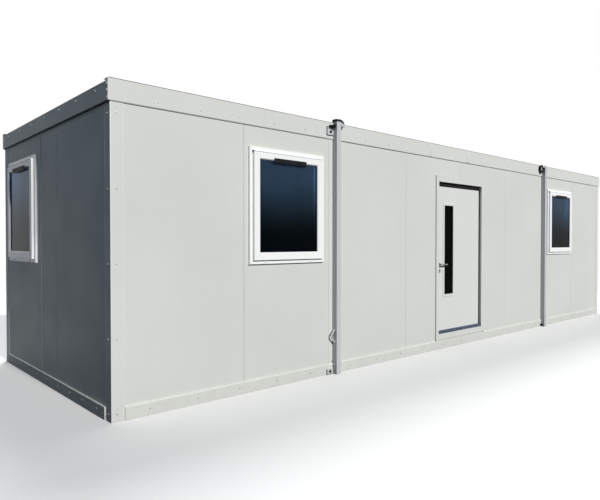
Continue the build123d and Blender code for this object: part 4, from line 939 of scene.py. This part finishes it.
# hooded caps over the drain slots, and the hinge cap at the upper left corner
drain = slab((-0.016, -0.0055, 0.0), (0.016, 0.0055, 0.005), bevel=0.0018)
faces_mode(drain, lambda face: face.normal.y < -0.9)
bpy.ops.mesh.inset(thickness=0.0012)
bpy.ops.mesh.extrude_region_move(TRANSFORM_OT_translate={"value": (0, 0.004, 0)})
bpy.ops.object.mode_set(mode="OBJECT")
DRAIN_ACROSS, DRAIN_HIGH = 0.27, -0.504
window_drains = joined([copied(drain, "drain", (across, DRAIN_HIGH, FRAME_FACE_AT), UP)
                        for across in (-DRAIN_ACROSS, DRAIN_ACROSS)], "drain_master")
bpy.data.objects.remove(drain)
hinge_cap = slab((-0.4270, 0.4740, FRAME_FACE_AT - 0.004), (-0.4190, 0.4870, 0.0425), bevel=0.0015)

seam_grey = painted_steel("plastic_weld_line", (0.50, 0.52, 0.54), rough=0.4, shade=0.05, splash=0.0,
                          streaks=0.0)
for master, name, material, slot in (
    (window_gaskets, "window_gasket", rubber, "window_plastic"),
    (sash_seals, "window_sash_seal", seal_grey, "window_plastic"),
    (window_mitres, "window_mitre_welds", seam_grey, "window_plastic"),
    (window_drains, "window_drain_caps", pvc, "window_plastic"),
    (hinge_cap, "window_hinge_cap", rubber, "window_plastic"),
):
    for side, (at, out) in WINDOW_PLACES.items():
        finish_piece(copied(master, f"{side}_{name}", at, out), material)
    bpy.data.objects.remove(master)

# trickle vent hood: long slots moulded into its face, either side of a middle web
VENT_SLOTS = ((0.401, 0.4045), (0.4125, 0.416), (0.424, 0.4275))
SLOT_INNER, SLOT_OUTER, SLOT_DEEP = 0.004, 0.18, 0.006
vent_plastic = painted_steel("vent_plastic", (0.022, 0.024, 0.027), rough=0.45, shade=0.1, splash=0.0,
                             streaks=0.04)
vent = slab((-0.195, 0.393, SASH_FACE_AT), (0.195, 0.437, 0.0540), bevel=0.0028, segments=3)
only(vent)
bpy.ops.object.mode_set(mode="EDIT")
for low, high in VENT_SLOTS:
    for height in (low, high):
        bpy.ops.mesh.select_all(action="SELECT")
        bpy.ops.mesh.bisect(plane_co=(0, height, 0), plane_no=(0, 1, 0))
for across in (-SLOT_OUTER, -SLOT_INNER, SLOT_INNER, SLOT_OUTER):
    bpy.ops.mesh.select_all(action="SELECT")
    bpy.ops.mesh.bisect(plane_co=(across, 0, 0), plane_no=(1, 0, 0))
bpy.ops.object.mode_set(mode="OBJECT")


def in_slot(face):
    """Whether a face of the hood's front lies inside one of its slots."""
    spot = face.center
    in_row = any(low < spot.y < high for low, high in VENT_SLOTS)
    return face.normal.z > 0.9 and in_row and SLOT_INNER < abs(spot.x) < SLOT_OUTER


faces_mode(vent, in_slot)
bpy.ops.mesh.extrude_region_move(TRANSFORM_OT_translate={"value": (0, 0, -SLOT_DEEP)})
bpy.ops.object.mode_set(mode="OBJECT")
vents = joined([copied(vent, "vent", at, out) for at, out in WINDOW_PLACES.values()], "trickle_vents")
bpy.data.objects.remove(vent)
finish_piece(vents, vent_plastic)
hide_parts("window_vents")

# ---- Door ----
# Pressed steel frame set into the wall, and a smooth white steel leaf on hidden hinges that
# opens inwards, with a tall slit of dark glass and a lever over its lock.
frame_paint = painted_steel("door_frame_paint", (0.668, 0.682, 0.658), rough=0.36, shade=0.015, splash=0.1,
                            streaks=0.04)
coat(frame_paint, "door_frame")

# black strips under the head and on the stops beside the leaf: painted shade in the door's recess
HEAD_UNDERSIDE, OPENING_HALF = 2.074, outermost("door_threshold", "x")
STOP_BACK = -innermost("door_threshold", "y")
HEAD_STRIP_HALF, HEAD_STRIP_LOW, SIDE_STRIP_LOW = 0.4985, HEAD_UNDERSIDE - 0.050, 0.224
DOOR_STRIP_FRONT, SIDE_STRIP_WIDE = STOP_BACK - 0.0045, 0.011
door_shade_strips = [slab((-HEAD_STRIP_HALF, DOOR_STRIP_FRONT, HEAD_STRIP_LOW), (HEAD_STRIP_HALF, STOP_BACK + 0.0005, HEAD_UNDERSIDE),
                   bevel=0.0015)]
for x_side in (-1, 1):
    edge, lip = band(x_side, OPENING_HALF, OPENING_HALF - SIDE_STRIP_WIDE)
    door_shade_strips.append(slab((edge, DOOR_STRIP_FRONT, SIDE_STRIP_LOW), (lip, STOP_BACK + 0.0015, HEAD_STRIP_LOW - 0.0005),
                           bevel=0.0022))
finish_joined(door_shade_strips, "door_shade_strips", rubber)

# dark grey bead where the flange meets the wall and, at its foot, the base frame: painted shade along the
# flange's edges
FLANGE_HALF, FLANGE_HIGH = outermost("door_frame", "x"), outermost("door_frame", "z")
FLANGE_LOW = RAIL_TOP + 0.001
SHADE_BEAD, TOP_SHADE_BEAD = 0.005, 0.003
SHADE_BEAD_BACK = 0.0005 - WALL_FACE
SHADE_BEAD_FRONT, TOP_SHADE_BEAD_FRONT = SHADE_BEAD_BACK - 0.007, SHADE_BEAD_BACK - 0.004
FOOT_SHADE_BEAD = (0.0002 - RAIL_FACE, RAIL_TOP + 0.0002), (0.0026 - RAIL_FACE, RAIL_TOP + 0.0034)
flange_shade_beads = []
for x_side in (-1, 1):
    start, end = band(x_side, FLANGE_HALF - 0.001, FLANGE_HALF + SHADE_BEAD)
    flange_shade_beads.append(slab((start, SHADE_BEAD_FRONT, FLANGE_LOW), (end, SHADE_BEAD_BACK, FLANGE_HIGH + SHADE_BEAD),
                        bevel=0.0015))
flange_shade_beads += [slab((-FLANGE_HALF, TOP_SHADE_BEAD_FRONT, FLANGE_HIGH - 0.001),
                 (FLANGE_HALF, SHADE_BEAD_BACK, FLANGE_HIGH + TOP_SHADE_BEAD), bevel=0.001),
            slab((-FLANGE_HALF, *FOOT_SHADE_BEAD[0]), (FLANGE_HALF, *FOOT_SHADE_BEAD[1]), bevel=0.0006)]
finish_joined(flange_shade_beads, "door_frame_shade_beads", dark_shade_grey)

# welded corner lines of the pressed flange
FLANGE_FACE = outermost("door_frame", "y")
FLANGE_MITRES = ((0.501, 2.075), (0.554, 2.137)), ((0.501, 0.184), (0.554, 0.116))
flange_lines = []
for x_side in (-1, 1):
    for inner, outer in FLANGE_MITRES:
        flange_lines.append(sliver((x_side * inner[0], inner[1]), (x_side * outer[0], outer[1]), LINE_WIDE,
                                   -LINE_SUNK, LINE_PROUD))
flange_lines = joined(flange_lines, "door_frame_corner_lines")
flange_lines.data.transform(facing((0, -FLANGE_FACE, 0), FRONT))
finish_piece(flange_lines, seam_grey)

# the leaf, its threshold and its furniture
door_paint = painted_steel("door_leaf_paint", (0.695, 0.708, 0.690), rough=0.33, shade=0.012, splash=0.1,
                           streaks=0.03)
coat(door_paint, "door_leaf", "door_vision_frame")
# its blue is a painted reflection of the sky in the metal
threshold = painted_steel("threshold_metal", (0.100, 0.125, 0.185), rough=0.38, metallic=0.40, shade=0.12,
                          splash=0.3, streaks=0.0)
coat(threshold, "door_threshold")
furniture = painted_steel("furniture_metal", (0.24, 0.24, 0.25), rough=0.27, metallic=0.95, shade=0.08,
                          splash=0.0, streaks=0.0)
coat(furniture, "door_lever", "door_lock_trim")

# grip ribs pressed along the threshold
RIB_HALF, RIB_HIGH = OPENING_HALF - 0.003, 0.0035
RIB_BACK = 0.0005 - outermost("door_threshold", "y")
RIB_FRONT = RIB_BACK - 0.0017
RIBS_FROM = 0.1905, 0.1985, 0.2065, 0.2145
ribs = [slab((-RIB_HALF, RIB_FRONT, height), (RIB_HALF, RIB_BACK, height + RIB_HIGH), bevel=0.0006)
        for height in RIBS_FROM]
finish_joined(ribs, "door_threshold_ribs", threshold)

# lock cylinder with its keyway, on both faces of the lock trim
cylinder = disc(0.0085, 0.0, 0.0035, sides=28, bevel=0.0008)
keyway = slab((-0.0011, -0.0050, 0.0030), (0.0011, 0.0045, 0.0037), bevel=0.0001)
LOCK_X, LOCK_Z = -halfway("door_lock_trim", "x"), 0.968
LOCK_FACES = (FRONT, -outermost("door_lock_trim", "y")), (BACK, -innermost("door_lock_trim", "y"))
cylinders, keyways = [], []
for out, depth in LOCK_FACES:
    cylinders.append(copied(cylinder, "cylinder", (LOCK_X, depth, LOCK_Z), out))
    keyways.append(copied(keyway, "keyway", (LOCK_X, depth, LOCK_Z), out))
bpy.data.objects.remove(cylinder)
bpy.data.objects.remove(keyway)
finish_joined(cylinders, "door_lock_cylinders", furniture, body="door")
finish_joined(keyways, "door_lock_keyways", rubber, body="door")

# glazing strip round the slit, on both faces of the leaf
SLIT_SIZE = (0.1955, 1.1215)
SLIT_X, SLIT_Z = -halfway("door_vision_glass", "x"), halfway("door_vision_glass", "z")
SLIT_FACES = ((FRONT, -outermost("door_vision_glass", "y")),
              (BACK, -innermost("door_vision_glass", "y")))
strip = ring(SLIT_SIZE, 0.006, -0.0005, 0.0035, bevel=0.0012)
slit_gaskets = [copied(strip, "strip", (SLIT_X, depth, SLIT_Z), out) for out, depth in SLIT_FACES]
bpy.data.objects.remove(strip)
finish_joined(slit_gaskets, "door_vision_gasket", rubber, body="door")

# near-black glass in the slit
slit, slit_shader = new_material("door_slit_glass")
slit_shader.inputs["Transmission Weight"].default_value = 1.0
slit_shader.inputs["IOR"].default_value = 1.07
slit_shader.inputs["Specular Tint"].default_value = (0.3, 0.35, 0.4, 1)
slit_at = node(slit, "ShaderNodeTexCoord")
slit_film = cloud(slit, slit_at, 3.0, 3)
slit_tone = blend_colour(slit, (slit_film, 0), (0.020, 0.023, 0.026), (0.012, 0.014, 0.016))
wire(slit, (slit_tone[0], slit_tone[1], slit_shader, "Base Color"))
slit_rough = span(slit, slit_film, 0, 0.3, 0.7, 0.01, 0.03)
wire(slit, (slit_rough, 0, slit_shader, "Roughness"))
coat(slit, "door_vision_glass")

# the masters that were only copied go
bpy.data.objects.remove(screw)
bpy.data.objects.remove(post_bolt)
